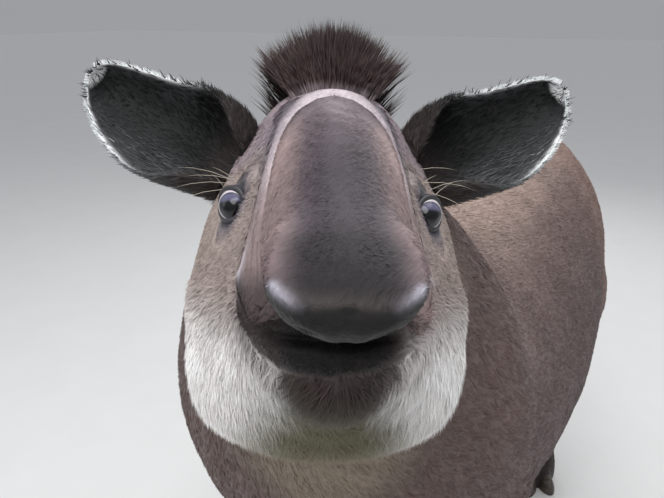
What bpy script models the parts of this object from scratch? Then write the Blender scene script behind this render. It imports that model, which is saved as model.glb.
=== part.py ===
"""A lowland tapir, adult, life size, standing with its head raised and turned to its left.

Metres, +Z up. The animal faces -Y, its left side is +X, and its soles are at z = 0.
The origin is under the middle of the animal's box.
The body is lofted whole from named stations and is then parted by thin cuts into head,
snout, neck, torso, tail, legs, ears and hooves. The crest is flat, tapered locks.
"""

import math
import random

import bmesh
import bpy
from mathutils import Matrix, Vector
from mathutils.bvhtree import BVHTree

PARTING = 0.0003  # the width of a thin cut between two neighbours

# The head's own frame: x forward along the mouth line, y to the animal's left, z up.
EYE_MID = Vector((0.1445, -0.858, 1.130))  # the point between the two eyes
HEAD_TURN = math.radians(30.6)  # to the left of straight ahead
HEAD_LIFT = math.radians(30.0)  # nose up
HEAD_ROLL = math.radians(2.5)  # the left side lower

# Trunk and neck, tail end first: centre x, y, z, then the ring's lift and turn in degrees,
# its reach up and down from the centre, its half width, how square its top and its bottom are.
BODY_STATIONS = [
    (0.000, 0.632, 0.760, 0, 0, 0.030, 0.040, 0.035, 2.0, 2.0),
    (0.000, 0.608, 0.745, 0, 0, 0.125, 0.120, 0.110, 2.0, 2.0),
    (0.000, 0.540, 0.720, 0, 0, 0.225, 0.200, 0.190, 2.0, 2.1),
    (0.000, 0.410, 0.685, 0, 0, 0.330, 0.235, 0.252, 1.85, 2.2),
    (0.000, 0.230, 0.655, 0, 0, 0.378, 0.255, 0.276, 1.75, 2.2),
    (0.000, 0.020, 0.625, 0, 0, 0.380, 0.265, 0.292, 1.75, 2.2),
    (0.000, -0.190, 0.630, 0, 0, 0.362, 0.262, 0.288, 1.75, 2.2),
    (0.000, -0.370, 0.670, 2, 0, 0.335, 0.272, 0.280, 1.8, 2.1),
    (0.002, -0.500, 0.730, 8, 1, 0.290, 0.282, 0.268, 1.9, 2.0),
    (0.014, -0.582, 0.800, 20, 6, 0.256, 0.265, 0.250, 2.0, 2.0),
    (0.034, -0.643, 0.870, 29, 13, 0.234, 0.240, 0.216, 2.0, 2.0),
    (0.056, -0.694, 0.935, 33, 20, 0.209, 0.208, 0.179, 2.0, 2.0),
    (0.078, -0.740, 0.985, 31, 27, 0.188, 0.178, 0.149, 2.0, 2.0),
    (0.100, -0.785, 1.020, 30, 30.6, 0.150, 0.140, 0.120, 2.0, 2.0),
]
BODY_SIDES = 28
BODY_STEPS = 2

# The head behind the snout: x, top z, then half width and z at five levels, then bottom z.
HEAD_STATIONS = [
    (-0.175, 0.095, 0.040, 0.085, 0.070, 0.050, 0.085, 0.000, 0.090, -0.060, 0.070, -0.125, -0.150),
    (-0.140, 0.128, 0.044, 0.114, 0.080, 0.068, 0.104, 0.000, 0.118, -0.070, 0.098, -0.155, -0.178),
    (-0.095, 0.144, 0.046, 0.130, 0.086, 0.076, 0.113, 0.000, 0.128, -0.080, 0.102, -0.172, -0.200),
    (-0.040, 0.118, 0.046, 0.102, 0.072, 0.055, 0.091, 0.000, 0.121, -0.080, 0.098, -0.168, -0.202),
    (-0.005, 0.100, 0.042, 0.086, 0.064, 0.045, 0.078, 0.000, 0.105, -0.080, 0.086, -0.155, -0.192),
    (0.022, 0.082, 0.036, 0.072, 0.056, 0.036, 0.067, -0.004, 0.090, -0.072, 0.074, -0.142, -0.182),
    (0.075, 0.045, 0.032, 0.035, 0.047, 0.008, 0.056, -0.025, 0.066, -0.070, 0.056, -0.130, -0.168),
    (0.115, 0.010, 0.028, 0.000, 0.042, -0.020, 0.051, -0.050, 0.055, -0.082, 0.045, -0.126, -0.155),
    (0.142, -0.025, 0.020, -0.034, 0.034, -0.052, 0.040, -0.075, 0.040, -0.098, 0.032, -0.124, -0.142),
    (0.153, -0.060, 0.010, -0.065, 0.018, -0.078, 0.022, -0.092, 0.022, -0.106, 0.016, -0.118, -0.126),
]
HEAD_SIDES = 18  # points from the top of a ring to its bottom
HEAD_STEPS = 2

# The snout: its upper line x, z, its lower line x, z, its half width and how square it is.
SNOUT_STATIONS = [
    (-0.034, 0.088, -0.050, 0.030, 0.020, 2.0),
    (-0.024, 0.102, -0.045, 0.000, 0.036, 2.3),
    (0.000, 0.098, -0.030, -0.035, 0.041, 2.4),
    (0.030, 0.080, -0.010, -0.060, 0.046, 2.4),
    (0.065, 0.054, 0.020, -0.075, 0.051, 2.4),
    (0.105, 0.021, 0.055, -0.085, 0.050, 2.3),
    (0.145, -0.014, 0.098, -0.098, 0.047, 2.2),
    (0.178, -0.040, 0.138, -0.103, 0.043, 2.1),
    (0.208, -0.061, 0.172, -0.106, 0.040, 2.1),
    (0.230, -0.078, 0.200, -0.114, 0.039, 2.2),
    (0.243, -0.094, 0.220, -0.121, 0.037, 2.3),
    (0.246, -0.104, 0.236, -0.119, 0.024, 2.1),
]
SNOUT_SIDES = 20
SNOUT_STEPS = 2

EYE_RADIUS = 0.0150
EYE_FACETS = (18, 8)  # round it and from pole to pole
EYE_CENTRE = (0.000, 0.0675, 0.000)  # in the head's frame, left eye
EYE_OUTWARD = math.radians(48)  # the gaze, from straight ahead
LID_THICKNESS = 0.0032
LID_OPEN_ACROSS = 62  # degrees from the gaze to the corner of the opening
LID_OPEN_UP = 54
NAPE = (-0.158, 0.0, -0.045)  # in the head's frame, the middle of the cut between head and neck

EAR_BASE = (-0.100, 0.086, 0.052)  # in the head's frame, left ear
EAR_TIP = (-0.112, 0.236, 0.160)
EAR_FACING = (1.0, 0.10, -0.10)  # the way that the cup opens
# Along the ear: share of its length, half width, the upper edge's share of that width, how
# far it curls in degrees, thickness.
EAR_STATIONS = [
    (0.00, 0.030, 1.40, 150, 0.0055),
    (0.15, 0.039, 1.35, 134, 0.0055),
    (0.35, 0.051, 0.98, 100, 0.0050),
    (0.55, 0.056, 0.74, 72, 0.0045),
    (0.75, 0.050, 0.64, 62, 0.0042),
    (0.90, 0.036, 0.64, 56, 0.0040),
    (0.97, 0.022, 0.70, 52, 0.0038),
    (1.00, 0.010, 0.80, 50, 0.0034),
]
EAR_COLUMNS = 8
EAR_STEPS = 2
EAR_PARTING = 0.17  # of the ear's length, where the free ear begins

# A leg from inside the trunk to the sole: z, x, y, half width, reach forward, reach back.
FRONT_LEG = [
    (0.800, 0.120, -0.475, 0.060, 0.080, 0.080),
    (0.700, 0.160, -0.462, 0.092, 0.118, 0.125),
    (0.590, 0.177, -0.448, 0.092, 0.122, 0.130),
    (0.490, 0.170, -0.440, 0.075, 0.094, 0.106),
    (0.410, 0.160, -0.446, 0.059, 0.072, 0.078),
    (0.335, 0.153, -0.454, 0.050, 0.058, 0.060),
    (0.270, 0.149, -0.460, 0.045, 0.051, 0.049),
    (0.230, 0.148, -0.463, 0.046, 0.053, 0.045),
    (0.180, 0.148, -0.463, 0.040, 0.044, 0.042),
    (0.120, 0.148, -0.465, 0.038, 0.042, 0.040),
    (0.080, 0.149, -0.472, 0.045, 0.050, 0.047),
    (0.045, 0.151, -0.480, 0.054, 0.062, 0.052),
    (0.015, 0.152, -0.484, 0.057, 0.066, 0.053),
    (-0.010, 0.152, -0.484, 0.053, 0.062, 0.049),
]
HIND_LEG = [
    (0.790, 0.120, 0.370, 0.070, 0.110, 0.100),
    (0.690, 0.163, 0.355, 0.094, 0.155, 0.145),
    (0.585, 0.182, 0.342, 0.096, 0.162, 0.152),
    (0.490, 0.176, 0.345, 0.084, 0.138, 0.136),
    (0.415, 0.166, 0.362, 0.068, 0.104, 0.110),
    (0.350, 0.158, 0.388, 0.054, 0.078, 0.086),
    (0.300, 0.153, 0.415, 0.046, 0.061, 0.068),
    (0.260, 0.151, 0.434, 0.044, 0.053, 0.062),
    (0.210, 0.150, 0.430, 0.039, 0.045, 0.048),
    (0.140, 0.150, 0.418, 0.037, 0.042, 0.042),
    (0.085, 0.151, 0.407, 0.044, 0.049, 0.047),
    (0.045, 0.152, 0.398, 0.053, 0.061, 0.052),
    (0.015, 0.153, 0.393, 0.055, 0.065, 0.052),
    (-0.010, 0.153, 0.393, 0.052, 0.061, 0.048),
]
LEG_SIDES = 16
LEG_PARTING_HEIGHT = 0.355

# Toes: the angle outward from straight ahead, how far out of the foot's middle, the scale.
FRONT_TOES = {
    "inner": (-37, 0.0, 0.96),
    "middle": (0, 0.010, 1.06),
    "outer": (37, 0.0, 0.96),
    "little": (80, 0.016, 0.66),
}
HIND_TOES = {"inner": (-37, 0.0, 0.94), "middle": (0, 0.010, 1.04), "outer": (37, 0.0, 0.94)}
# A toe from inside the foot to its tip: reach, half width and height.
TOE_STATIONS = [
    (0.012, 0.0200, 0.070),
    (0.040, 0.0220, 0.068),
    (0.062, 0.0215, 0.060),
    (0.078, 0.0215, 0.051),
    (0.094, 0.0195, 0.038),
    (0.106, 0.0135, 0.024),
    (0.111, 0.0060, 0.014),
]
TOE_PARTING = 0.073  # reach at which the hoof begins

TAIL_STATIONS = [
    (0.582, 0.862, 0.022),
    (0.626, 0.856, 0.028),
    (0.656, 0.834, 0.025),
    (0.668, 0.798, 0.020),
    (0.671, 0.762, 0.013),
    (0.668, 0.746, 0.004),
]
TAIL_PARTING_Y = 0.641

# The line of the mouth in the head's frame, from the corner forward: x, z.
MOUTH_LINE = [(0.084, -0.071), (0.105, -0.088), (0.125, -0.100), (0.145, -0.109), (0.180, -0.116)]
MOUTH_GAP = 0.0022
MOUTH_HALF_WIDTH = 0.090  # of the cut, past both corners
LOWER_LIP = [
    (0.086, 0.060, -0.080),
    (0.103, 0.055, -0.094),
    (0.122, 0.047, -0.107),
    (0.139, 0.034, -0.117),
    (0.150, 0.018, -0.122),
    (0.153, 0.000, -0.124),
]
UPPER_LIP = [
    (0.082, 0.063, -0.064),
    (0.100, 0.057, -0.074),
    (0.122, 0.051, -0.086),
    (0.144, 0.046, -0.096),
    (0.166, 0.040, -0.103),
    (0.184, 0.030, -0.108),
]
LIP_RADIUS = 0.0055
NOSTRIL = (0.232, 0.019, -0.121)
NOSTRIL_REACH = (0.013, 0.0085, 0.0045)
SNOUT_PARTING = ((0.128, 0.032), (0.101, -0.0845))  # top and bottom of its cut, x, z

# The crest of stiff hair from the forehead to the withers. On the head a row has x and z of
# a point under the skin and the hair's length; on the neck it has a body station and the length.
CREST_ON_HEAD = [
    (-0.052, 0.020, 0.026),
    (-0.072, 0.020, 0.062),
    (-0.105, 0.025, 0.092),
    (-0.145, 0.015, 0.092),
]
CREST_ON_NECK = [(12, 0.078), (11, 0.070), (10, 0.062), (9, 0.052), (8, 0.040), (7, 0.020)]
CREST_STEPS = 3
CREST_HALF_BAND = 0.030  # the skin that it grows from, to each side of the middle
CREST_ACROSS = ((-1.0, -0.33, 0.33, 1.0), (-0.67, 0.0, 0.67))  # shares of the half band, by turns
CREST_FAN = 36  # degrees that the outer locks lean to each side
LOCK_WIDTH = 0.037
LOCK_THICKNESS = 0.0070
LOCK_ROOT_DEPTH = 0.010
LOCK_LEAN = 0.22  # of the length that the tip bends back
LOCK_SHAPE = [(0.0, 0.95), (0.40, 1.0), (0.75, 0.74), (1.0, 0.24)]  # reach and width


FINISHES = {
    "hide": ((0.11, 0.075, 0.060), 0.85),
    "leg_hide": ((0.10, 0.070, 0.055), 0.85),
    "snout_hide": ((0.13, 0.095, 0.090), 0.65),
    "ear_hide": ((0.045, 0.038, 0.034), 0.80),
    "hoof_horn": ((0.035, 0.030, 0.027), 0.45),
    "eye": ((0.020, 0.018, 0.020), 0.08),
}


def clear_scene():
    for item in list(bpy.data.objects):
        bpy.data.objects.remove(item, do_unlink=True)


def make_collection(name):
    group = bpy.data.collections.new(name)
    bpy.context.scene.collection.children.link(group)
    return group


def paint(name, colour, roughness, metallic=0.0):
    finish = bpy.data.materials.new(name)
    finish.use_nodes = True
    shader = finish.node_tree.nodes["Principled BSDF"]
    shader.inputs["Base Color"].default_value = (*colour, 1.0)
    shader.inputs["Roughness"].default_value = roughness
    shader.inputs["Metallic"].default_value = metallic
    return finish


def head_axes():
    """The head's forward, left and up directions."""
    ahead = Vector((math.sin(HEAD_TURN), -math.cos(HEAD_TURN), 0.0))
    forward = ahead * math.cos(HEAD_LIFT) + Vector((0, 0, 1)) * math.sin(HEAD_LIFT)
    level_left = Vector((math.cos(HEAD_TURN), math.sin(HEAD_TURN), 0.0))
    level_up = forward.cross(level_left)
    left = level_left * math.cos(HEAD_ROLL) - level_up * math.sin(HEAD_ROLL)
    return forward, left, forward.cross(left)


FORWARD, LEFT, UP = head_axes()


def on_head(x, y, z):
    """The world place of a point in the head's frame."""
    return EYE_MID + FORWARD * x + LEFT * y + UP * z


def smooth_row(rows, steps):
    """Rows of numbers on a smooth curve through the given rows, with steps to each span."""
    rows = [tuple(float(value) for value in row) for row in rows]
    first = tuple(2 * a - b for a, b in zip(rows[0], rows[1]))
    last = tuple(2 * a - b for a, b in zip(rows[-1], rows[-2]))
    padded = [first] + rows + [last]
    result = []
    for index in range(1, len(padded) - 2):
        before, start, end, after = padded[index - 1 : index + 3]
        for step in range(steps):
            t = step / steps
            result.append(
                tuple(
                    0.5
                    * (
                        2 * b
                        + (c - a) * t
                        + (2 * a - 5 * b + 4 * c - d) * t * t
                        + (3 * b - a - 3 * c + d) * t**3
                    )
                    for a, b, c, d in zip(before, start, end, after)
                )
            )
    result.append(rows[-1])
    return result


def oval(up, down, half_width, square, sides, low_square=None):
    """A rounded outline as pairs of sideways and upward reach."""
    pairs = []
    for index in range(sides):
        angle = 2 * math.pi * index / sides
        across = math.sin(angle)
        height = math.cos(angle)
        power = 2.0 / (square if height > 0 or low_square is None else low_square)
        side = math.copysign(abs(across) ** power, across) * half_width
        rise = math.copysign(abs(height) ** power, height) * (up if height > 0 else down)
        pairs.append((side, rise))
    return pairs


def mesh_object(name, points, faces, group):
    mesh = bpy.data.meshes.new(name)
    mesh.from_pydata([tuple(point) for point in points], [], faces)
    mesh.validate()
    item = bpy.data.objects.new(name, mesh)
    group.objects.link(item)
    shell = bmesh.new()
    shell.from_mesh(mesh)
    bmesh.ops.recalc_face_normals(shell, faces=shell.faces)
    if shell.calc_volume(signed=True) < 0:
        bmesh.ops.reverse_faces(shell, faces=shell.faces)
    shell.to_mesh(mesh)
    shell.free()
    return item


def loft(name, rings, group, fans=True):
    """A closed skin over rings of equal count, with a fan or one flat face at each end."""
    count = len(rings[0])
    points = [point for ring in rings for point in ring]
    faces = []
    for row in range(len(rings) - 1):
        for index in range(count):
            following = (index + 1) % count
            a = row * count + index
            b = row * count + following
            faces.append((a, b, b + count, a + count))
    for ring, row in ((rings[0], 0), (rings[-1], len(rings) - 1)):
        if not fans:
            faces.append(tuple(range(row * count, (row + 1) * count)))
            continue
        middle = sum(ring, Vector()) / count
        points.append(middle)
        for index in range(count):
            faces.append((row * count + index, row * count + (index + 1) % count, len(points) - 1))
    return mesh_object(name, points, faces, group)


def body_frame(station):
    """A body station's centre, and its forward, left and up directions."""
    lift = math.radians(station[3])
    turn = math.radians(station[4])
    ahead = Vector((math.sin(turn), -math.cos(turn), 0))
    forward = ahead * math.cos(lift) + Vector((0, 0, 1)) * math.sin(lift)
    left = Vector((math.cos(turn), math.sin(turn), 0))
    return Vector(station[:3]), forward, left, forward.cross(left)


def trunk_and_neck(group):
    rings = []
    for row in smooth_row(BODY_STATIONS, BODY_STEPS):
        centre, forward, left, rise = body_frame(row)
        up, down, half, square, low_square = row[5:]
        outline = oval(up, down, half, square, BODY_SIDES, low_square)
        rings.append([centre + left * a + rise * b for a, b in outline])
    return loft("trunk_and_neck", rings, group)


def face(group):
    rings = []
    for row in smooth_row(HEAD_STATIONS, HEAD_STEPS):
        x = row[0]
        half = [(0.0, row[1])] + [(row[i], row[i + 1]) for i in range(2, 12, 2)] + [(0.0, row[12])]
        mirror_start = (-half[1][0], half[1][1])
        mirror_end = (-half[-2][0], half[-2][1])
        whole = smooth_row([mirror_start] + half + [mirror_end], HEAD_SIDES // 6)
        skip = HEAD_SIDES // 6
        side = whole[skip:-skip]
        ring = [on_head(x, a, b) for a, b in side]
        ring += [on_head(x, -a, b) for a, b in reversed(side[1:-1])]
        rings.append(ring)
    return loft("face", rings, group)


def snout(group):
    rings = []
    for top_x, top_z, low_x, low_z, half, square in smooth_row(SNOUT_STATIONS, SNOUT_STEPS):
        top = Vector((top_x, 0, top_z))
        low = Vector((low_x, 0, low_z))
        middle = (top + low) / 2
        rise = (top - low) / 2
        ring = []
        for across, height in oval(1.0, 1.0, half, square, SNOUT_SIDES):
            place = middle + rise * height
            ring.append(on_head(place.x, across, place.z))
        rings.append(ring)
    return loft("snout", rings, group)


def leg(name, stations, side, group):
    rings = []
    for z, x, y, half, ahead, behind in smooth_row(stations, 1):
        ring = []
        for across, along in oval(ahead, behind, half, 2.2, LEG_SIDES):
            ring.append(Vector((side * x + across, y - along, z)))
        rings.append(ring)
    return loft(name, rings, group)


def toe(name, foot, angle, out, scale, side, group):
    """One toe with its hoof, from inside the foot, running down through the floor."""
    angle = math.radians(angle) * side
    ahead = Vector((math.sin(angle), -math.cos(angle), 0))
    across = Vector((math.cos(angle), math.sin(angle), 0))
    rings = []
    for reach, half, height in TOE_STATIONS:
        centre = foot + ahead * (reach * scale + out)
        ring = []
        for a, b in oval(height * scale, 0.02, half * scale, 2.3, 10):
            ring.append(centre + across * a + Vector((0, 0, b)))
        rings.append(ring)
    return loft(name, rings, group)


def tail(group):
    rings = []
    rows = smooth_row(TAIL_STATIONS, 1)
    for index, (y, z, radius) in enumerate(rows):
        before = rows[max(index - 1, 0)]
        after = rows[min(index + 1, len(rows) - 1)]
        along = Vector((0, after[0] - before[0], after[1] - before[1])).normalized()
        rise = Vector((1, 0, 0)).cross(along)
        centre = Vector((0, y, z))
        ring = [centre + Vector((a, 0, 0)) + rise * b for a, b in oval(radius, radius, radius, 2, 12)]
        rings.append(ring)
    return loft("tail", rings, group)


def ear(side, group):
    """A cupped leaf: a tube at its root that opens forward and narrows to a round tip."""
    base = Vector((EAR_BASE[0], side * EAR_BASE[1], EAR_BASE[2]))
    tip = Vector((EAR_TIP[0], side * EAR_TIP[1], EAR_TIP[2]))
    along = (tip - base).normalized()
    facing = Vector((EAR_FACING[0], side * EAR_FACING[1], EAR_FACING[2]))
    facing = (facing - along * facing.dot(along)).normalized()
    upward = facing.cross(along) * side
    rings = []
    for u, half, upper, curl, wall in smooth_row(EAR_STATIONS, EAR_STEPS):
        curl = math.radians(curl)
        radius = half / math.sin(min(curl, math.pi / 2))
        rim = []
        for surface in (1, -1):
            size = radius + surface * wall / 2
            for column in range(EAR_COLUMNS + 1):
                turn = (2 * column / EAR_COLUMNS - 1) * curl * surface
                reach = size * math.sin(turn)
                if reach > 0:
                    reach *= upper
                depth = size * math.cos(turn) - 0.35 * radius
                rim.append(on_head(*(base + (tip - base) * u + upward * reach - facing * depth)))
        rings.append(rim)
    return loft("ear", rings, group, fans=False)


def freeze(item):
    """Keeps an object's modified shape as its mesh."""
    bpy.context.view_layer.update()
    graph = bpy.context.evaluated_depsgraph_get()
    mesh = bpy.data.meshes.new_from_object(item.evaluated_get(graph))
    item.modifiers.clear()
    item.data = mesh
    return item


def chest_plane():
    """The plane between neck and torso."""
    station = BODY_STATIONS[9]
    lift = math.radians(station[3])
    return Vector(station[:3]), Vector((0, -math.cos(lift), math.sin(lift)))


CHEST_PLANE = chest_plane()


def combine(base, others, operation, solver="EXACT"):
    """Joins a group of closed meshes to the base, or cuts them from it."""
    change = base.modifiers.new("change", "BOOLEAN")
    change.operation = operation
    change.operand_type = "COLLECTION"
    change.collection = others
    change.solver = solver
    freeze(base)
    for item in list(others.objects):
        bpy.data.objects.remove(item, do_unlink=True)
    return base


def ball(name, centre, reach, group, segments=20, rings=12):
    """An ellipsoid in the head's frame, its reach along x, y and z."""
    mesh = bpy.data.meshes.new(name)
    shell = bmesh.new()
    bmesh.ops.create_uvsphere(shell, u_segments=segments, v_segments=rings, radius=1.0)
    for vertex in shell.verts:
        a, b, c = (vertex.co[i] * reach[i] + centre[i] for i in range(3))
        vertex.co = on_head(a, b, c)
    bmesh.ops.recalc_face_normals(shell, faces=shell.faces)
    shell.to_mesh(mesh)
    shell.free()
    item = bpy.data.objects.new(name, mesh)
    group.objects.link(item)
    return item


def tube(name, path, radius, group, closed=False, sides=6):
    """A round bar along a path of points, thin at its two ends unless it is closed."""
    rings = []
    count = len(path)
    for index, place in enumerate(path):
        before = path[index - 1] if closed or index else place
        after = path[(index + 1) % count] if closed or index < count - 1 else place
        along = (after - before).normalized()
        across = along.cross(UP).normalized()
        rise = across.cross(along)
        size = radius if closed or 0 < index < count - 1 else radius * 0.4
        ring = []
        for step in range(sides):
            turn = 2 * math.pi * step / sides
            ring.append(place + across * (size * math.cos(turn)) + rise * (size * math.sin(turn)))
        rings.append(ring)
    if not closed:
        return loft(name, rings, group)
    points = [point for ring in rings for point in ring]
    faces = []
    for row in range(count):
        for step in range(sides):
            following = (step + 1) % sides
            a = row * sides
            b = (row + 1) % count * sides
            faces.append((a + step, a + following, b + following, b + step))
    return mesh_object(name, points, faces, group)


def gaze(side):
    """The way that an eye looks, and the directions across and up its opening."""
    outward = FORWARD * math.cos(EYE_OUTWARD) + LEFT * (side * math.sin(EYE_OUTWARD))
    across = UP.cross(outward).normalized()
    return outward, across, outward.cross(across)


def lids(side, group):
    """The rims of the upper and the lower lid, one ring round the eye's opening."""
    outward, across, rise = gaze(side)
    centre = on_head(EYE_CENTRE[0], side * EYE_CENTRE[1], EYE_CENTRE[2])
    path = []
    for step in range(16):
        turn = 2 * math.pi * step / 16
        width = math.radians(LID_OPEN_ACROSS) * math.cos(turn)
        height = math.radians(LID_OPEN_UP) * math.sin(turn)
        slant = (outward + across * math.tan(width) + rise * math.tan(height)).normalized()
        path.append(centre + slant * (EYE_RADIUS + LID_THICKNESS * 0.35))
    return tube("lids", path, LID_THICKNESS, group, closed=True)


def lip(name, line, side, group):
    rows = smooth_row(line, 2)
    return tube(name, [on_head(x, side * y, z) for x, y, z in rows], LIP_RADIUS, group)


def lower_lip(group):
    half = smooth_row(LOWER_LIP, 2)
    whole = [on_head(*row) for row in half] + [on_head(x, -y, z) for x, y, z in reversed(half[:-1])]
    return tube("lower_lip", whole, LIP_RADIUS, group)


def slab(name, centre, normal, upward, half_width, half_height, group, thickness=PARTING):
    """A thin box, the cut between two neighbours."""
    normal = normal.normalized()
    upward = (upward - normal * upward.dot(normal)).normalized()
    across = upward.cross(normal)
    points = []
    for a in (-1, 1):
        for b in (-1, 1):
            for c in (-1, 1):
                place = centre + normal * (a * thickness / 2)
                points.append(place + across * (b * half_width) + upward * (c * half_height))
    faces = [(0, 1, 3, 2), (4, 6, 7, 5), (0, 4, 5, 1), (2, 3, 7, 6), (0, 2, 6, 4), (1, 5, 7, 3)]
    return mesh_object(name, points, faces, group)


def mouth_slit(group):
    """The thin gap between the upper and the lower lip."""
    rings = []
    for x, z in smooth_row(MOUTH_LINE, 2):
        ring = []
        for a, b in ((-1, -1), (1, -1), (1, 1), (-1, 1)):
            ring.append(on_head(x, a * MOUTH_HALF_WIDTH, z + b * MOUTH_GAP / 2))
        rings.append(ring)
    return loft("mouth_slit", rings, group)


def nostril(side, group):
    """A comma that opens forward and down on one side of the snout's tip."""
    place = (NOSTRIL[0], side * NOSTRIL[1], NOSTRIL[2])
    return ball("nostril", place, NOSTRIL_REACH, group, 12, 8)


def toe_frame(foot, angle, side):
    turn = math.radians(angle) * side
    return foot, Vector((math.sin(turn), -math.cos(turn), 0))


def feet():
    """Every toe's node name, foot, angle, reach out, scale and side."""
    rows = []
    for place, stations, toes in (("front", FRONT_LEG, FRONT_TOES), ("hind", HIND_LEG, HIND_TOES)):
        for side, word in ((1, "left"), (-1, "right")):
            foot = Vector((side * stations[-1][1], stations[-1][2], 0.0))
            for digit, (angle, out, scale) in toes.items():
                rows.append((f"hoof_{place}_{word}_{digit}", foot, angle, out, scale, side))
    return rows


def ear_cut(side, group):
    base = on_head(EAR_BASE[0], side * EAR_BASE[1], EAR_BASE[2])
    tip = on_head(EAR_TIP[0], side * EAR_TIP[1], EAR_TIP[2])
    along = tip - base
    return slab("ear_cut", base + along * EAR_PARTING, along, UP, 0.075, 0.075, group)


def part_the_body(body, group):
    """Thin cuts between the nodes, and the floor's plane under the soles."""
    slab("chest_cut", *CHEST_PLANE, Vector((0, 0, 1)), 0.45, 0.45, group)
    slab("nape_cut", on_head(*NAPE), FORWARD, UP, 0.19, 0.30, group)
    (top_x, top_z), (low_x, low_z) = SNOUT_PARTING
    top = on_head(top_x, 0, top_z)
    low = on_head(low_x, 0, low_z)
    middle = (top + low) / 2
    slab("snout_cut", middle, (top - low).cross(LEFT), top - low, 0.080, (top - low).length / 2, group)
    tail_place = Vector((0, TAIL_PARTING_Y, 0.830))
    slab("tail_cut", tail_place, Vector((0, 1, 0)), Vector((0, 0, 1)), 0.06, 0.07, group)
    for side in (1, -1):
        for stations in (FRONT_LEG, HIND_LEG):
            place = Vector((side * 0.155, stations[6][2], LEG_PARTING_HEIGHT))
            slab("leg_cut", place, Vector((0, 0, 1)), Vector((0, 1, 0)), 0.105, 0.150, group)
        ear_cut(side, group)
        nostril(side, group)
    for name, foot, angle, out, scale, side in feet():
        ahead = toe_frame(foot, angle, side)[1]
        place = foot + ahead * (TOE_PARTING * scale + out)
        half = TOE_STATIONS[3][1] * scale + 0.0012
        slab("hoof_cut", place, ahead, Vector((0, 0, 1)), half, 0.075, group)
    mouth_slit(group)
    floor = slab("floor", Vector((0, 0, -0.05)), Vector((0, 0, 1)), Vector((0, 1, 0)), 2, 2, group, 0.1)
    floor.name = "floor"
    return combine(body, group, "DIFFERENCE", "MANIFOLD")


def loose_shells(item):
    """The closed surfaces of a mesh as lists of its faces."""
    shell = bmesh.new()
    shell.from_mesh(item.data)
    shell.faces.ensure_lookup_table()
    seen = set()
    groups = []
    for face_start in shell.faces:
        if face_start.index in seen:
            continue
        seen.add(face_start.index)
        stack = [face_start]
        found = []
        while stack:
            current = stack.pop()
            found.append(current.index)
            for edge in current.edges:
                for neighbour in edge.link_faces:
                    if neighbour.index not in seen:
                        seen.add(neighbour.index)
                        stack.append(neighbour)
        groups.append(found)
    meshes = []
    for found in groups:
        keep = set(found)
        single = shell.copy()
        single.faces.ensure_lookup_table()
        doomed = [face for face in single.faces if face.index not in keep]
        bmesh.ops.delete(single, geom=doomed, context="FACES")
        bmesh.ops.delete(single, geom=[v for v in single.verts if not v.link_faces], context="VERTS")
        meshes.append(single)
    shell.free()
    return meshes


def middle_of(shell):
    total = sum((vertex.co for vertex in shell.verts), Vector())
    return total / len(shell.verts)


def name_the_parts(body, places, group):
    """Each closed surface takes the name of the place that it lies nearest to."""
    shells = sorted(loose_shells(body), key=lambda shell: -shell.calc_volume())
    found = {}
    for shell in shells:
        centre = middle_of(shell)
        name = min(places, key=lambda key: (places[key] - centre).length)
        if name in found:
            shell.free()
            continue
        mesh = bpy.data.meshes.new(name)
        shell.to_mesh(mesh)
        shell.free()
        found[name] = bpy.data.objects.new(name, mesh)
        group.objects.link(found[name])
    bpy.data.objects.remove(body, do_unlink=True)
    missing = sorted(set(places) - set(found))
    assert not missing, f"no body for {missing}"
    return found


def part_places():
    """A point near the middle of each part."""
    places = {
        "torso": Vector((0, 0.0, 0.68)),
        "neck": Vector((0.05, -0.68, 0.90)),
        "head": on_head(-0.04, 0, -0.04),
        "snout": on_head(0.17, 0, -0.06),
        "tail": Vector((0, TAIL_STATIONS[3][0], TAIL_STATIONS[3][1])),
    }
    for side, word in ((1, "left"), (-1, "right")):
        places[f"ear_{word}"] = on_head(-0.11, side * 0.18, 0.12)
        places[f"leg_front_{word}"] = Vector((side * FRONT_LEG[9][1], FRONT_LEG[9][2], 0.16))
        places[f"leg_hind_{word}"] = Vector((side * HIND_LEG[9][1], HIND_LEG[9][2], 0.16))
    for name, foot, angle, out, scale, side in feet():
        ahead = toe_frame(foot, angle, side)[1]
        places[name] = foot + ahead * (0.090 * scale + out) + Vector((0, 0, 0.018))
    return places


def crest_rows():
    """Points under the crest with its forward and up directions and the hair's length."""
    rows = []
    for x, z, length in CREST_ON_HEAD:
        rows.append((*on_head(x, 0, z), *FORWARD, *UP, length))
    for number, length in CREST_ON_NECK:
        centre, forward, left, rise = body_frame(BODY_STATIONS[number])
        rows.append((*centre, *forward, *rise, length))
    return smooth_row(rows, CREST_STEPS)


def lock(place, outward, flat_way, back, length, group):
    """One flat, tapered lock that bends back along the crest."""
    rings = []
    thin_way = outward.cross(flat_way).normalized()
    for reach, width in LOCK_SHAPE:
        rise = length * reach - LOCK_ROOT_DEPTH * (1 - reach)
        centre = place + outward * rise + back * (LOCK_LEAN * length * reach * reach)
        side = flat_way * (LOCK_WIDTH * width / 2)
        face_way = thin_way * (LOCK_THICKNESS * (0.35 + 0.65 * width) / 2)
        rings.append([centre + side, centre + face_way, centre - side, centre - face_way])
    return loft("lock", rings, group, fans=False)


def trim(item, place, normal):
    """Cuts off what lies past a plane and closes the cut."""
    shell = bmesh.new()
    shell.from_mesh(item.data)
    everything = shell.verts[:] + shell.edges[:] + shell.faces[:]
    cut = bmesh.ops.bisect_plane(
        shell, geom=everything, plane_co=place, plane_no=normal, clear_outer=True, dist=1e-6
    )
    edges = [part for part in cut["geom_cut"] if isinstance(part, bmesh.types.BMEdge)]
    if edges:
        bmesh.ops.holes_fill(shell, edges=edges)
        bmesh.ops.recalc_face_normals(shell, faces=shell.faces)
    shell.to_mesh(item.data)
    shell.free()


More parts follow.
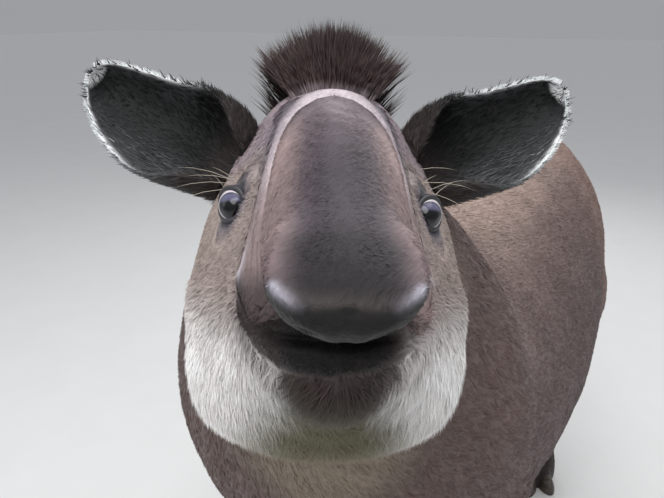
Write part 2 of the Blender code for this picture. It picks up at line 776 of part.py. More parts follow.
def grow_crest(nodes, group):
    """Sets the crest's locks on the head, neck and torso, each fused to what it grows from."""
    dice = random.Random(7)
    owners = [nodes["head"], nodes["neck"], nodes["torso"]]
    trees = []
    for item in owners:
        shell = bmesh.new()
        shell.from_mesh(item.data)
        trees.append(BVHTree.FromBMesh(shell))
        shell.free()
    groups = [make_collection(f"{item.name}_locks") for item in owners]
    walls = part_walls()
    for number, row in enumerate(crest_rows()):
        centre = Vector(row[0:3])
        forward = Vector(row[3:6]).normalized()
        rise = Vector(row[6:9])
        rise = (rise - forward * rise.dot(forward)).normalized()
        left = rise.cross(forward)
        for share in CREST_ACROSS[number % 2]:
            fan = math.radians(CREST_FAN * share + dice.uniform(-4, 4))
            outward = rise * math.cos(fan) + left * math.sin(fan)
            outward = (outward + forward * dice.uniform(-0.08, 0.08)).normalized()
            above = centre + rise * 0.6 + left * (CREST_HALF_BAND * share)
            hits = []
            for index, tree in enumerate(trees):
                hit = tree.ray_cast(above, -rise)
                if hit[0] is not None:
                    hits.append((hit[3], index, hit[0]))
            if not hits:
                continue
            distance, index, place = min(hits)
            length = row[9] * dice.uniform(0.90, 1.08) * (1 - 0.15 * abs(share))
            twist = Matrix.Rotation(math.radians(dice.choice((-38, -12, 15, 40))), 3, outward)
            flat_way = twist @ (forward - outward * forward.dot(outward)).normalized()
            item = lock(place, outward, flat_way, -forward, length, groups[index])
            for wall_place, wall_normal in walls[owners[index].name]:
                trim(item, wall_place, wall_normal)
    for item, locks in zip(owners, groups):
        if locks.objects:
            combine(item, locks, "UNION", "MANIFOLD")
            keep_largest(item)


def part_walls():
    """For each node of the crest, the planes that its locks stay behind."""
    margin = PARTING * 0.8
    neck_place, neck_normal = CHEST_PLANE
    nape = on_head(*NAPE)
    return {
        "head": [(nape + FORWARD * margin, -FORWARD)],
        "neck": [(nape - FORWARD * margin, FORWARD), (neck_place + neck_normal * margin, -neck_normal)],
        "torso": [(neck_place - neck_normal * margin, neck_normal)],
    }


def keep_largest(item):
    shells = sorted(loose_shells(item), key=lambda shell: shell.calc_volume())
    shells[-1].to_mesh(item.data)
    for shell in shells:
        shell.free()


def finish_of(name):
    """The material that a node takes."""
    for start, finish in (("hoof", "hoof_horn"), ("eye", "eye"), ("ear", "ear_hide"), ("snout", "snout_hide")):
        if name.startswith(start):
            return finish
    return "leg_hide" if name.startswith("leg") else "hide"


def centre_on_floor(nodes):
    """Moves every node so that the origin is under the middle of the whole box."""
    points = [vertex.co for item in nodes.values() for vertex in item.data.vertices]
    low = [min(point[axis] for point in points) for axis in range(3)]
    high = [max(point[axis] for point in points) for axis in range(3)]
    shift = Vector((-(low[0] + high[0]) / 2, -(low[1] + high[1]) / 2, -low[2]))
    for item in nodes.values():
        item.data.transform(Matrix.Translation(shift))


def main():
    clear_scene()
    whole = make_collection("lowland_tapir")
    joined = make_collection("joined")
    body = trunk_and_neck(whole)
    face(joined)
    snout(joined)
    for side in (1, -1):
        leg("front_leg", FRONT_LEG, side, joined)
        leg("hind_leg", HIND_LEG, side, joined)
        ear(side, joined)
        lids(side, joined)
        lip("upper_lip", UPPER_LIP, side, joined)
    for name, foot, angle, out, scale, side in feet():
        toe("toe", foot, angle, out, scale, side, joined)
    lower_lip(joined)
    tail(joined)
    combine(body, joined, "UNION", "MANIFOLD")
    for side in (1, -1):
        place = (EYE_CENTRE[0], side * EYE_CENTRE[1], EYE_CENTRE[2])
        ball("socket", place, (EYE_RADIUS + PARTING,) * 3, joined, *EYE_FACETS)
    combine(body, joined, "DIFFERENCE", "MANIFOLD")
    part_the_body(body, joined)
    nodes = name_the_parts(body, part_places(), whole)
    for side, word in ((1, "left"), (-1, "right")):
        place = (EYE_CENTRE[0], side * EYE_CENTRE[1], EYE_CENTRE[2])
        nodes[f"eye_{word}"] = ball(f"eye_{word}", place, (EYE_RADIUS,) * 3, whole, *EYE_FACETS)
    grow_crest(nodes, joined)
    finishes = {name: paint(name, *values) for name, values in FINISHES.items()}
    for name, item in nodes.items():
        item.data.materials.clear()
        item.data.materials.append(finishes[finish_of(name)])
    centre_on_floor(nodes)


main()
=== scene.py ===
"""Looks of the life-size lowland tapir: one skin under a coat of tufts, a bristle crest,
cupped ears, wet eyes and horn hooves, on a pale studio floor.

Metres, +Z up. The animal faces -Y and its left side is +X. The skin is drawn from the same
stations as the solids and lies inside them by the depth of the coat.
"""

import math

import bmesh
import bpy
import numpy as np
from mathutils import Matrix, Vector
from mathutils.bvhtree import BVHTree


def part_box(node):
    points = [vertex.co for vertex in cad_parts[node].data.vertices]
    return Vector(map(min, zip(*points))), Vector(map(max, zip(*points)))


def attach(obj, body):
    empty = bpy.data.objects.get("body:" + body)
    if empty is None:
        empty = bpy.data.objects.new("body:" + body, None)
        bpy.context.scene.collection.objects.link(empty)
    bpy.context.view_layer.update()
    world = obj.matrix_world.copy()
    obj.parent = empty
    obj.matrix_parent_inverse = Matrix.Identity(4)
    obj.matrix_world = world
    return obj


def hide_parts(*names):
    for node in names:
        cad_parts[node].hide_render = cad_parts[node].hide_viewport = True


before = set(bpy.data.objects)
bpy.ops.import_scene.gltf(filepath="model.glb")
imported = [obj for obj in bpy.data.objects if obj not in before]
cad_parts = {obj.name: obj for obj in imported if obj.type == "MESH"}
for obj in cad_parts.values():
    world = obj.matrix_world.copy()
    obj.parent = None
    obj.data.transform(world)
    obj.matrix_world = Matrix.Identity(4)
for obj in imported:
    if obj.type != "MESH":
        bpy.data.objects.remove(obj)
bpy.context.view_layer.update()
bpy.ops.object.select_all(action="DESELECT")

CHANCE = np.random.default_rng(11)
THIN = 1.0
SKIN_TRIANGLES = 190000


def middle_of(node):
    low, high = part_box(node)
    return (low + high) / 2


EYE_MID = (middle_of("eye_left") + middle_of("eye_right")) / 2
DRAWN_EYE_MID = Vector((0.1445, -0.858, 1.130))  # where the stations have it
SHIFT = EYE_MID - DRAWN_EYE_MID
HEAD_TURN = math.radians(30.6)
HEAD_LIFT = math.radians(30.0)
HEAD_ROLL = math.radians(2.5)
EYE_SEAT = {1: (0.0, 0.0735, -0.0030), -1: (0.0, -0.0745, -0.0005)}  # in the head's frame
SIDE_WORD = {1: "left", -1: "right"}


def head_axes():
    """The head's forward, left and up directions."""
    ahead = Vector((math.sin(HEAD_TURN), -math.cos(HEAD_TURN), 0.0))
    forward = ahead * math.cos(HEAD_LIFT) + Vector((0, 0, 1)) * math.sin(HEAD_LIFT)
    level_left = Vector((math.cos(HEAD_TURN), math.sin(HEAD_TURN), 0.0))
    level_up = forward.cross(level_left)
    left = level_left * math.cos(HEAD_ROLL) - level_up * math.sin(HEAD_ROLL)
    return forward, left, forward.cross(left)


FORWARD, LEFT, UP = head_axes()
HEAD_MATRIX = np.array([FORWARD, LEFT, UP])


def on_head(x, y, z):
    return EYE_MID + FORWARD * x + LEFT * y + UP * z


def eye_centre(side):
    return on_head(*EYE_SEAT[side])


def eye_gap(local):
    """Distance from the nearer eyeball's middle."""
    gaps = [np.linalg.norm(local - EYE_SEAT[side], axis=1) for side in (1, -1)]
    return np.minimum(*gaps)


def in_head(places):
    """Places in the head's own frame: forward, left, up."""
    return (places - np.array(EYE_MID)) @ HEAD_MATRIX.T


def out_of_head(directions):
    return directions @ HEAD_MATRIX


def folded(local):
    """Places in the head's frame with its right side laid over its left."""
    return np.stack([local[:, 0], np.abs(local[:, 1]), local[:, 2]], axis=1)


# place, lift and turn in degrees, reach up and down, half width, squareness above and below
BODY = [
    (0.000, 0.632, 0.760, 0, 0, 0.030, 0.040, 0.035, 2.0, 2.0),
    (0.000, 0.608, 0.745, 0, 0, 0.125, 0.120, 0.110, 2.0, 2.0),
    (0.000, 0.540, 0.720, 0, 0, 0.225, 0.200, 0.190, 2.0, 2.1),
    (0.000, 0.410, 0.685, 0, 0, 0.330, 0.235, 0.252, 1.85, 2.2),
    (0.000, 0.230, 0.655, 0, 0, 0.378, 0.255, 0.276, 1.75, 2.2),
    (0.000, 0.020, 0.625, 0, 0, 0.380, 0.265, 0.292, 1.75, 2.2),
    (0.000, -0.190, 0.630, 0, 0, 0.362, 0.262, 0.288, 1.75, 2.2),
    (0.000, -0.370, 0.670, 2, 0, 0.335, 0.272, 0.280, 1.8, 2.1),
    (0.002, -0.500, 0.730, 8, 1, 0.290, 0.282, 0.268, 1.9, 2.0),
    (0.014, -0.582, 0.800, 20, 6, 0.256, 0.265, 0.250, 2.0, 2.0),
    (0.034, -0.643, 0.870, 29, 13, 0.234, 0.240, 0.216, 2.0, 2.0),
    (0.056, -0.694, 0.935, 33, 20, 0.209, 0.208, 0.179, 2.0, 2.0),
    (0.078, -0.740, 0.985, 31, 27, 0.188, 0.178, 0.149, 2.0, 2.0),
    (0.100, -0.785, 1.020, 30, 30.6, 0.150, 0.140, 0.120, 2.0, 2.0),
]
# forward, height on top, then y and z of five places down the side, height underneath
HEAD = [
    (-0.175, 0.095, 0.040, 0.085, 0.070, 0.050, 0.085, 0.000, 0.090, -0.060, 0.070, -0.125, -0.150),
    (-0.140, 0.128, 0.044, 0.114, 0.080, 0.068, 0.104, 0.000, 0.118, -0.070, 0.098, -0.155, -0.178),
    (-0.095, 0.144, 0.046, 0.130, 0.086, 0.076, 0.113, 0.000, 0.128, -0.080, 0.102, -0.172, -0.200),
    (-0.040, 0.118, 0.046, 0.102, 0.072, 0.055, 0.091, 0.000, 0.121, -0.080, 0.098, -0.168, -0.202),
    (-0.005, 0.100, 0.042, 0.086, 0.064, 0.045, 0.078, 0.000, 0.105, -0.080, 0.086, -0.155, -0.192),
    (0.022, 0.082, 0.036, 0.072, 0.056, 0.036, 0.067, -0.004, 0.090, -0.072, 0.074, -0.142, -0.182),
    (0.075, 0.045, 0.032, 0.035, 0.047, 0.008, 0.056, -0.025, 0.066, -0.070, 0.056, -0.130, -0.168),
    (0.115, 0.010, 0.028, 0.000, 0.042, -0.020, 0.051, -0.050, 0.055, -0.082, 0.045, -0.126, -0.155),
    (0.142, -0.025, 0.020, -0.034, 0.034, -0.052, 0.040, -0.075, 0.040, -0.098, 0.032, -0.124, -0.142),
    (0.153, -0.060, 0.010, -0.065, 0.018, -0.078, 0.022, -0.092, 0.022, -0.106, 0.016, -0.118, -0.126),
]
# forward and up on top, forward and up underneath, half width, squareness
SNOUT = [
    (-0.034, 0.088, -0.050, 0.030, 0.020, 2.0),
    (-0.024, 0.102, -0.045, 0.000, 0.036, 2.3),
    (0.000, 0.098, -0.030, -0.035, 0.041, 2.4),
    (0.030, 0.080, -0.010, -0.060, 0.046, 2.4),
    (0.065, 0.054, 0.020, -0.075, 0.051, 2.4),
    (0.105, 0.021, 0.055, -0.085, 0.050, 2.3),
    (0.145, -0.014, 0.098, -0.098, 0.047, 2.2),
    (0.178, -0.040, 0.138, -0.103, 0.043, 2.1),
    (0.208, -0.061, 0.172, -0.106, 0.040, 2.1),
    (0.230, -0.078, 0.200, -0.114, 0.039, 2.2),
    (0.243, -0.094, 0.220, -0.121, 0.037, 2.3),
    (0.246, -0.104, 0.236, -0.119, 0.024, 2.1),
]
# height, x, y, half width, reach ahead and behind
FRONT_LEG = [
    (0.800, 0.120, -0.475, 0.060, 0.080, 0.080),
    (0.700, 0.160, -0.462, 0.092, 0.118, 0.125),
    (0.590, 0.177, -0.448, 0.092, 0.122, 0.130),
    (0.490, 0.170, -0.440, 0.075, 0.094, 0.106),
    (0.410, 0.160, -0.446, 0.059, 0.072, 0.078),
    (0.335, 0.153, -0.454, 0.050, 0.058, 0.060),
    (0.270, 0.149, -0.460, 0.045, 0.051, 0.049),
    (0.230, 0.148, -0.463, 0.046, 0.053, 0.045),
    (0.180, 0.148, -0.463, 0.040, 0.044, 0.042),
    (0.120, 0.148, -0.465, 0.038, 0.042, 0.040),
    (0.080, 0.149, -0.472, 0.045, 0.050, 0.047),
    (0.045, 0.151, -0.480, 0.054, 0.062, 0.052),
    (0.015, 0.152, -0.484, 0.057, 0.066, 0.053),
    (-0.010, 0.152, -0.484, 0.053, 0.062, 0.049),
]
HIND_LEG = [
    (0.790, 0.120, 0.370, 0.070, 0.110, 0.100),
    (0.690, 0.163, 0.355, 0.094, 0.155, 0.145),
    (0.585, 0.182, 0.342, 0.096, 0.162, 0.152),
    (0.490, 0.176, 0.345, 0.084, 0.138, 0.136),
    (0.415, 0.166, 0.362, 0.068, 0.104, 0.110),
    (0.350, 0.158, 0.388, 0.054, 0.078, 0.086),
    (0.300, 0.153, 0.415, 0.046, 0.061, 0.068),
    (0.260, 0.151, 0.434, 0.044, 0.053, 0.062),
    (0.210, 0.150, 0.430, 0.039, 0.045, 0.048),
    (0.140, 0.150, 0.418, 0.037, 0.042, 0.042),
    (0.085, 0.151, 0.407, 0.044, 0.049, 0.047),
    (0.045, 0.152, 0.398, 0.053, 0.061, 0.052),
    (0.015, 0.153, 0.393, 0.055, 0.065, 0.052),
    (-0.010, 0.153, 0.393, 0.052, 0.061, 0.048),
]
# turn outward in degrees, shift outward, size
TOES = {
    "front": {
        "inner": (-37, 0.0, 0.96),
        "middle": (0, 0.010, 1.06),
        "outer": (37, 0.0, 0.96),
        "little": (80, 0.016, 0.66),
    },
    "hind": {
        "inner": (-37, 0.0, 0.94),
        "middle": (0, 0.010, 1.04),
        "outer": (37, 0.0, 0.94),
    },
}
# reach, half width, height
TOE = [
    (0.012, 0.0200, 0.070),
    (0.040, 0.0220, 0.068),
    (0.062, 0.0215, 0.060),
    (0.078, 0.0215, 0.051),
    (0.094, 0.0195, 0.038),
    (0.106, 0.0135, 0.024),
    (0.111, 0.0060, 0.014),
]
TOE_PARTING = 0.073
# y, height, radius
TAIL = [
    (0.582, 0.862, 0.022),
    (0.626, 0.856, 0.028),
    (0.656, 0.834, 0.025),
    (0.668, 0.798, 0.020),
    (0.671, 0.762, 0.013),
    (0.668, 0.746, 0.004),
]
EAR_BASE = (-0.100, 0.086, 0.052)
EAR_TIP = (-0.112, 0.236, 0.160)
EAR_FACING = (1.0, 0.10, -0.10)
# share of the length, half width, reach of the upper half, curl in degrees, wall
EAR = [
    (0.00, 0.030, 1.40, 150, 0.0055),
    (0.15, 0.039, 1.35, 134, 0.0055),
    (0.35, 0.051, 0.98, 100, 0.0050),
    (0.55, 0.056, 0.74, 72, 0.0045),
    (0.75, 0.050, 0.64, 62, 0.0042),
    (0.90, 0.036, 0.64, 56, 0.0040),
    (0.955, 0.0255, 0.70, 53, 0.0038),
    (0.985, 0.0150, 0.78, 51, 0.0036),
    (1.00, 0.0040, 0.90, 50, 0.0030),
]
MOUTH_LINE = [
    (0.084, -0.071),
    (0.105, -0.088),
    (0.125, -0.100),
    (0.145, -0.109),
    (0.180, -0.116),
    (0.215, -0.121),
]
LOWER_LIP = [
    (0.086, 0.060, -0.080),
    (0.103, 0.055, -0.094),
    (0.122, 0.047, -0.107),
    (0.139, 0.034, -0.117),
    (0.150, 0.018, -0.122),
    (0.153, 0.000, -0.124),
]
UPPER_LIP = [
    (0.082, 0.063, -0.064),
    (0.100, 0.057, -0.074),
    (0.122, 0.051, -0.086),
    (0.144, 0.046, -0.096),
    (0.166, 0.040, -0.103),
    (0.184, 0.030, -0.108),
]
LIP_RADIUS = 0.0055
NOSTRIL = (0.226, 0.018, -0.122)
NOSTRIL_SIZE = (0.011, 0.0075, 0.007)
EYE_RADIUS = 0.0150
EYE_OUTWARD = math.radians(40)
OPENING = {"away": 64, "nose": 58, "up": 44, "down": 56}  # degrees from the middle of the lids to their edge
ELBOW = (-0.124, 0.50)
# forward, up, length of the hair
CREST_ON_HEAD = [
    (-0.052, 0.020, 0.026),
    (-0.072, 0.020, 0.068),
    (-0.105, 0.025, 0.102),
    (-0.145, 0.015, 0.102),
]
# station of the body, length of the hair
CREST_ON_NECK = [(12, 0.078), (11, 0.070), (10, 0.062), (9, 0.052), (8, 0.040), (7, 0.020)]


def smooth_row(rows, steps):
    """Rows of numbers on a smooth curve through the given rows, with steps to each span."""
    rows = np.array(rows, float)
    padded = np.vstack([2 * rows[0] - rows[1], rows, 2 * rows[-1] - rows[-2]])
    result = []
    for index in range(1, len(padded) - 2):
        a, b, c, d = padded[index - 1 : index + 3]
        for step in range(steps):
            t = step / steps
            bend = 2 * a - 5 * b + 4 * c - d
            twist = 3 * b - a - 3 * c + d
            result.append(0.5 * (2 * b + (c - a) * t + bend * t * t + twist * t**3))
    result.append(rows[-1])
    return np.array(result)


def oval(up, down, half_width, square, sides, low_square=None):
    """A rounded outline: sideways reach and upward reach of each point."""
    angle = np.linspace(0, 2 * math.pi, sides, endpoint=False)
    across = np.sin(angle)
    height = np.cos(angle)
    low_square = square if low_square is None else low_square
    power = np.where(height > 0, 2.0 / square, 2.0 / low_square)
    side = np.sign(across) * np.abs(across) ** power * half_width
    rise = np.sign(height) * np.abs(height) ** power * np.where(height > 0, up, down)
    return side, rise


def body_frame(station):
    lift = math.radians(station[3])
    turn = math.radians(station[4])
    ahead = Vector((math.sin(turn), -math.cos(turn), 0))
    forward = ahead * math.cos(lift) + Vector((0, 0, 1)) * math.sin(lift)
    left = Vector((math.cos(turn), math.sin(turn), 0))
    return Vector(station[:3]) + SHIFT, forward, left, forward.cross(left)


def add_object(name, data):
    item = bpy.data.objects.new(name, data)
    bpy.context.scene.collection.objects.link(item)
    return item


def new_object(name, points, faces):
    mesh = bpy.data.meshes.new(name)
    mesh.from_pydata([tuple(point) for point in points], [], faces)
    return add_object(name, mesh)


def close_normals(item):
    shell = bmesh.new()
    shell.from_mesh(item.data)
    bmesh.ops.recalc_face_normals(shell, faces=shell.faces)
    if shell.calc_volume(signed=True) < 0:
        bmesh.ops.reverse_faces(shell, faces=shell.faces)
    shell.to_mesh(item.data)
    shell.free()
    return item


def loft(name, rings):
    """A closed skin over rings of equal count, with a fan at each end."""
    rings = np.array(rings)
    rows, count = rings.shape[:2]
    points = rings.reshape(-1, 3)
    faces = []
    for row in range(rows - 1):
        for index in range(count):
            following = (index + 1) % count
            a = row * count + index
            b = row * count + following
            faces.append((a, b, b + count, a + count))
    points = np.vstack([points, rings[0].mean(axis=0), rings[-1].mean(axis=0)])
    for row, middle in ((0, len(points) - 2), (rows - 1, len(points) - 1)):
        for index in range(count):
            faces.append((row * count + index, row * count + (index + 1) % count, middle))
    return close_normals(new_object(name, points, faces))


def draw_trunk():
    rings = []
    for row in smooth_row(BODY, 6):
        centre, forward, left, rise = body_frame(row)
        side, height = oval(row[5], row[6], row[7], row[8], 72, row[9])
        rings.append(np.array(centre) + np.outer(side, left) + np.outer(height, rise))
    return loft("trunk", rings)


def draw_face():
    rings = []
    steps = 8
    for row in smooth_row(HEAD, 6):
        half = [(0.0, row[1])] + [(row[i], row[i + 1]) for i in range(2, 12, 2)] + [(0.0, row[12])]
        start = (-half[1][0], half[1][1])
        end = (-half[-2][0], half[-2][1])
        side = smooth_row([start] + half + [end], steps)[steps:-steps]
        ring = [on_head(row[0], a, b) for a, b in side]
        ring += [on_head(row[0], -a, b) for a, b in side[-2:0:-1]]
        rings.append(ring)
    return loft("face", rings)


def draw_snout():
    rings = []
    for top_x, top_z, low_x, low_z, half, square in smooth_row(SNOUT, 5):
        side, height = oval(1.0, 1.0, half, square, 56)
        middle = ((top_x + low_x) / 2, (top_z + low_z) / 2)
        rise = ((top_x - low_x) / 2, (top_z - low_z) / 2)
        ring = [on_head(middle[0] + rise[0] * h, a, middle[1] + rise[1] * h) for a, h in zip(side, height)]
        rings.append(ring)
    return loft("snout", rings)


def draw_leg(stations, side):
    rings = []
    for z, x, y, half, ahead, behind in smooth_row(stations, 5):
        across, along = oval(ahead, behind, half, 2.2, 36)
        ring = np.stack([side * x + across, y - along, np.full(36, z)], axis=1)
        rings.append(ring + np.array(SHIFT))
    return loft("leg", rings)


def toe_way(angle, side):
    turn = math.radians(angle) * side
    return Vector((math.sin(turn), -math.cos(turn), 0)), Vector((math.cos(turn), math.sin(turn), 0))


def feet():
    rows = []
    for place, stations in (("front", FRONT_LEG), ("hind", HIND_LEG)):
        for side, word in SIDE_WORD.items():
            foot = Vector((side * stations[-1][1], stations[-1][2], 0.0)) + SHIFT
            for digit, (angle, out, scale) in TOES[place].items():
                rows.append((f"hoof_{place}_{word}_{digit}", foot, angle, out, scale, side))
    return rows


def draw_toe(foot, angle, out, scale, side):
    """The fleshy root of a toe, which ends just inside its hoof."""
    ahead, across = toe_way(angle, side)
    rings = []
    for reach, half, height in smooth_row(TOE[:4], 3):
        centre = foot + ahead * (reach * scale + out)
        a, b = oval(height * scale * 0.97, 0.02, half * scale * 0.95, 2.3, 20)
        rings.append(np.array(centre) + np.outer(a, across) + np.outer(b, (0, 0, 1)))
    return loft("toe", rings)


def draw_tail():
    rows = smooth_row(TAIL, 4)
    rings = []
    for index, (y, z, radius) in enumerate(rows):
        before = rows[max(index - 1, 0)]
        after = rows[min(index + 1, len(rows) - 1)]
        along = Vector((0, after[0] - before[0], after[1] - before[1])).normalized()
        rise = Vector((1, 0, 0)).cross(along)
        a, b = oval(radius, radius, radius, 2, 20)
        rings.append(np.array(Vector((0, y, z)) + SHIFT) + np.outer(a, (1, 0, 0)) + np.outer(b, rise))
    return loft("tail", rings)


def draw_lip(line, mirror):
    rows = smooth_row(line, 4)
    path = [on_head(x, y, z) for x, y, z in rows]
    if mirror:
        path += [on_head(x, -y, z) for x, y, z in rows[-2::-1]]
    rings = []
    for index, place in enumerate(path):
        along = (path[min(index + 1, len(path) - 1)] - path[max(index - 1, 0)]).normalized()
        across = along.cross(UP).normalized()
        rise = across.cross(along)
        size = LIP_RADIUS * (0.4 if index in (0, len(path) - 1) else 1.0)
        a, b = oval(size, size, size, 2, 12)
        rings.append(np.array(place) + np.outer(a, across) + np.outer(b, rise))
    return loft("lip", rings)


def select_only(*items):
    bpy.ops.object.select_all(action="DESELECT")
    for item in items:
        item.select_set(True)
    bpy.context.view_layer.objects.active = items[0]


def finish_with(item, kind, **settings):
    """Adds a modifier with its settings and applies it."""
    select_only(item)
    change = item.modifiers.new(kind.lower(), kind)
    for key, value in settings.items():
        setattr(change, key, value)
    bpy.ops.object.modifier_apply(modifier=change.name)
    return item


def points_of(item):
    places = np.empty(len(item.data.vertices) * 3)
    item.data.vertices.foreach_get("co", places)
    return places.reshape(-1, 3)


def set_points(item, places):
    item.data.vertices.foreach_set("co", places.ravel())
    item.data.update()


def normals_of(item):
    ways = np.empty(len(item.data.vertices) * 3, np.float32)
    item.data.vertex_normals.foreach_get("vector", ways)
    return ways.reshape(-1, 3).astype(float)


def relax(item, strength, rounds):
    """Evens the surface out where strength is above zero."""
    edges = np.empty(len(item.data.edges) * 2, np.int32)
    item.data.edges.foreach_get("vertices", edges)
    a, b = edges.reshape(-1, 2).T
    places = points_of(item)
    count = np.bincount(a, minlength=len(places)) + np.bincount(b, minlength=len(places))
    for _ in range(rounds):
        total = np.zeros_like(places)
        for axis in range(3):
            total[:, axis] = np.bincount(a, places[b, axis], len(places))
            total[:, axis] += np.bincount(b, places[a, axis], len(places))
        mean = total / np.maximum(count, 1)[:, None]
        places += (mean - places) * strength[:, None]
    set_points(item, places)


def ramp(value, low, high):
    """0 below low, 1 above high, smooth between."""
    t = np.clip((value - low) / (high - low), 0, 1)
    return t * t * (3 - 2 * t)


def bell(value, centre, width):
    return np.exp(-(((value - centre) / width) ** 2))


def blend(first, second, share):
    return first * (1 - share) + second * share


def path_distance(points, path):
    """Distance from each point to a line of points."""
    best = np.full(len(points), np.inf)
    for start, end in zip(np.array(path[:-1]), np.array(path[1:])):
        way = end - start
        t = np.clip(((points - start) @ way) / (way @ way), 0, 1)
        best = np.minimum(best, np.linalg.norm(points - start - t[:, None] * way, axis=1))
    return best


def head_share(places):
    """1 on the head, 0 on the trunk, blended round the nape and throat."""
    local = in_head(places)
    return ramp(local[:, 0] + 0.25 * local[:, 2], -0.235, -0.150)


def snout_share(local):
    """1 on the bare-looking dome of the nose."""
    x, y, z = local.T
    dome = ramp(x, -0.045, -0.015)
    reach = 0.040 + 0.10 * np.clip(x, 0, 0.06) + 0.012 * ramp(x, 0.04, 0.09)
    sides = 1 - ramp(np.abs(y), reach, reach + 0.012)
    line = 0.045 - 0.75 * x
    low = np.maximum(line - 0.075, -0.110)
    return dome * sides * ramp(z, low, low + 0.020)


DOME_EDGE = [
    (0.024, 0.000, 0.084),
    (0.030, 0.016, 0.080),
    (0.042, 0.030, 0.064),
    (0.060, 0.038, 0.042),
    (0.082, 0.043, 0.014),
    (0.104, 0.046, -0.014),
    (0.122, 0.047, -0.040),
]


def past_dome(local):
    """Distance outward from the edge of the raised dome of the nose."""
    x, wide, z = folded(local).T
    edge_x, edge_wide, edge_z = np.array(DOME_EDGE).T
    gap = path_distance(folded(local), DOME_EDGE)
    inside = x > np.interp(wide, edge_wide, edge_x)
    inside &= z > np.interp(x, edge_x, edge_z) - 0.9 * gap
    return np.where(inside, -gap, gap)


def lips_share(local):
    """1 on the bare dark lips, which show less on the left."""
    x, y, z = local.T
    line = path_distance(local[:, [0, 2]], MOUTH_LINE)
    upper = (1 - ramp(line, 0.008, 0.016)) * ramp(x, 0.076, 0.092) * (1 - ramp(y, 0.026, 0.046) * 0.9)
    thick = np.interp(y, [-0.06, -0.02, 0.01, 0.05], [0.0060, 0.0045, 0.0010, 0.0])
    lower = 1 - ramp(path_distance(folded(local), LOWER_LIP), thick, thick + 0.0065)
    return np.maximum(upper, lower)


# path of a painted highlight along the upper edge of the nose's tip
PAINTED_SHEEN_LINE = [
    (0.2415, 0.0000, -0.1045),
    (0.2415, 0.0120, -0.1033),
    (0.2404, 0.0215, -0.1000),
    (0.2387, 0.0268, -0.0968),
    (0.2346, 0.0325, -0.0912),
]


def below_sheen(local):
    """Distance from the painted highlight across the nose's tip, and how far below it."""
    x, wide, z = folded(local).T
    line_x, line_wide, line_z = np.array(PAINTED_SHEEN_LINE).T
    return path_distance(folded(local), PAINTED_SHEEN_LINE), np.interp(wide, line_wide, line_z) - z


def beard_share(local):
    """1 on the long pale hair of the lower cheeks, the jaw and the upper throat."""
    x, y, z = local.T
    top = -0.058 - 0.20 * np.clip(x, -0.10, 0.15)
    return ramp(-z, -top, -top + 0.055) * (1 - ramp(x, 0.128, 0.150)) * ramp(x, -0.17, -0.10)


def coat_depth(places):
    """How far the skin lies under the outline of the coat."""
    local = in_head(places)
    on_face = 0.0032 + 0.0062 * beard_share(local)
    on_face = blend(on_face, 0.0018, ramp(local[:, 0], 0.06, 0.13))
    on_face = blend(on_face, 0.0010, snout_share(local))
    on_trunk = blend(0.0036, 0.0016, 1 - ramp(places[:, 2], 0.10, 0.45))
    return blend(on_trunk, on_face, head_share(places))


def linear(red, green, blue):
    """A screen colour as light."""
    value = np.array([red, green, blue]) / 255
    return np.where(value <= 0.04045, value / 12.92, ((value + 0.055) / 1.055) ** 2.4)


FLANK = linear(96, 80, 77)
# painted light: the paler upper flanks, lit from above
UPPER_FLANK_PAINTED_LIGHT = linear(134, 115, 110)
# painted light: the paler tan of the back's upward-facing top
BACK_PAINTED_LIGHT = linear(172, 150, 138)
BELLY = linear(58, 45, 43)
# warm rump colour, made lighter in part as painted light from above
HAUNCH_WARM_AND_PAINTED_LIGHT = linear(142, 115, 104)
LEG_BROWN = linear(70, 56, 52)
FOOT_DARK = linear(48, 39, 37)
NECK_BROWN = linear(92, 74, 70)
CREST_DARK = linear(66, 50, 49)
CREST_BROWN = linear(62, 45, 42)
CREST_PALE = linear(150, 132, 128)
WHISKER_PALE = linear(176, 166, 152)
THROAT = linear(140, 128, 112)
BRIDGE = linear(84, 72, 78)
BRIDGE_DARK = linear(55, 47, 53)
BRIDGE_SIDE = linear(140, 120, 118)
RIM_PALE = linear(212, 199, 204)
FOREHEAD = linear(160, 146, 151)
BROW_GREY = linear(96, 92, 102)
CHEEK = linear(156, 142, 137)
CHEEK_TAN = linear(168, 152, 142)
BEARD_WHITE = linear(248, 246, 244)
# painted shade under the chin: olive, darkest towards the lips, paler lower down
CHIN_PAINTED_SHADE = linear(80, 76, 52)
CHIN_PAINTED_DEEP_SHADE = linear(43, 38, 28)
CHIN_PAINTED_PALE_SHADE = linear(98, 95, 68)
# painted highlight: the sheen on the corner of the mouth
MOUTH_CORNER_PAINTED_SHEEN = linear(205, 198, 205)
# dark skin of the lips, deepened as painted shade under the nose
LIP_DARK_AND_SHADE = linear(17, 15, 15)
# brown skin of the flews, deepened as painted shade under the nose
LIP_BROWN_AND_SHADE = linear(62, 51, 51)
LID_DARK = linear(46, 46, 52)
# dark bare skin of the nose's tip, made darker still as painted shade against the floor's bounce light
TIP_DARK_AND_SHADE = linear(26, 24, 28)
# painted highlight on the nose's tip
TIP_PAINTED_SHEEN = linear(172, 169, 180)
EAR_BLACK = linear(24, 25, 25)
EAR_BROWN = linear(58, 50, 49)
# grey hair, and painted sheen on the black cup
EAR_GREY_AND_SHEEN = linear(112, 114, 116)
EAR_WHITE = linear(235, 238, 238)


def mix(first, second, share):
    """One colour for each place, between two."""
    return blend(first, second, np.asarray(share)[:, None])


def darken(colour, share):
    return colour * (1 - share)[:, None]


def waves(places, size, seed):
    """A smooth wandering value from -1 to 1 with patches of about the given size."""
    dice = np.random.default_rng(seed)
    total = np.zeros(len(places))
    for _ in range(6):
        way = dice.normal(size=3)
        way *= (2 * math.pi / size) * dice.uniform(0.6, 1.6) / np.linalg.norm(way)
        total += np.sin(places @ way + dice.uniform(0, 6.28))
    return total / 3.2


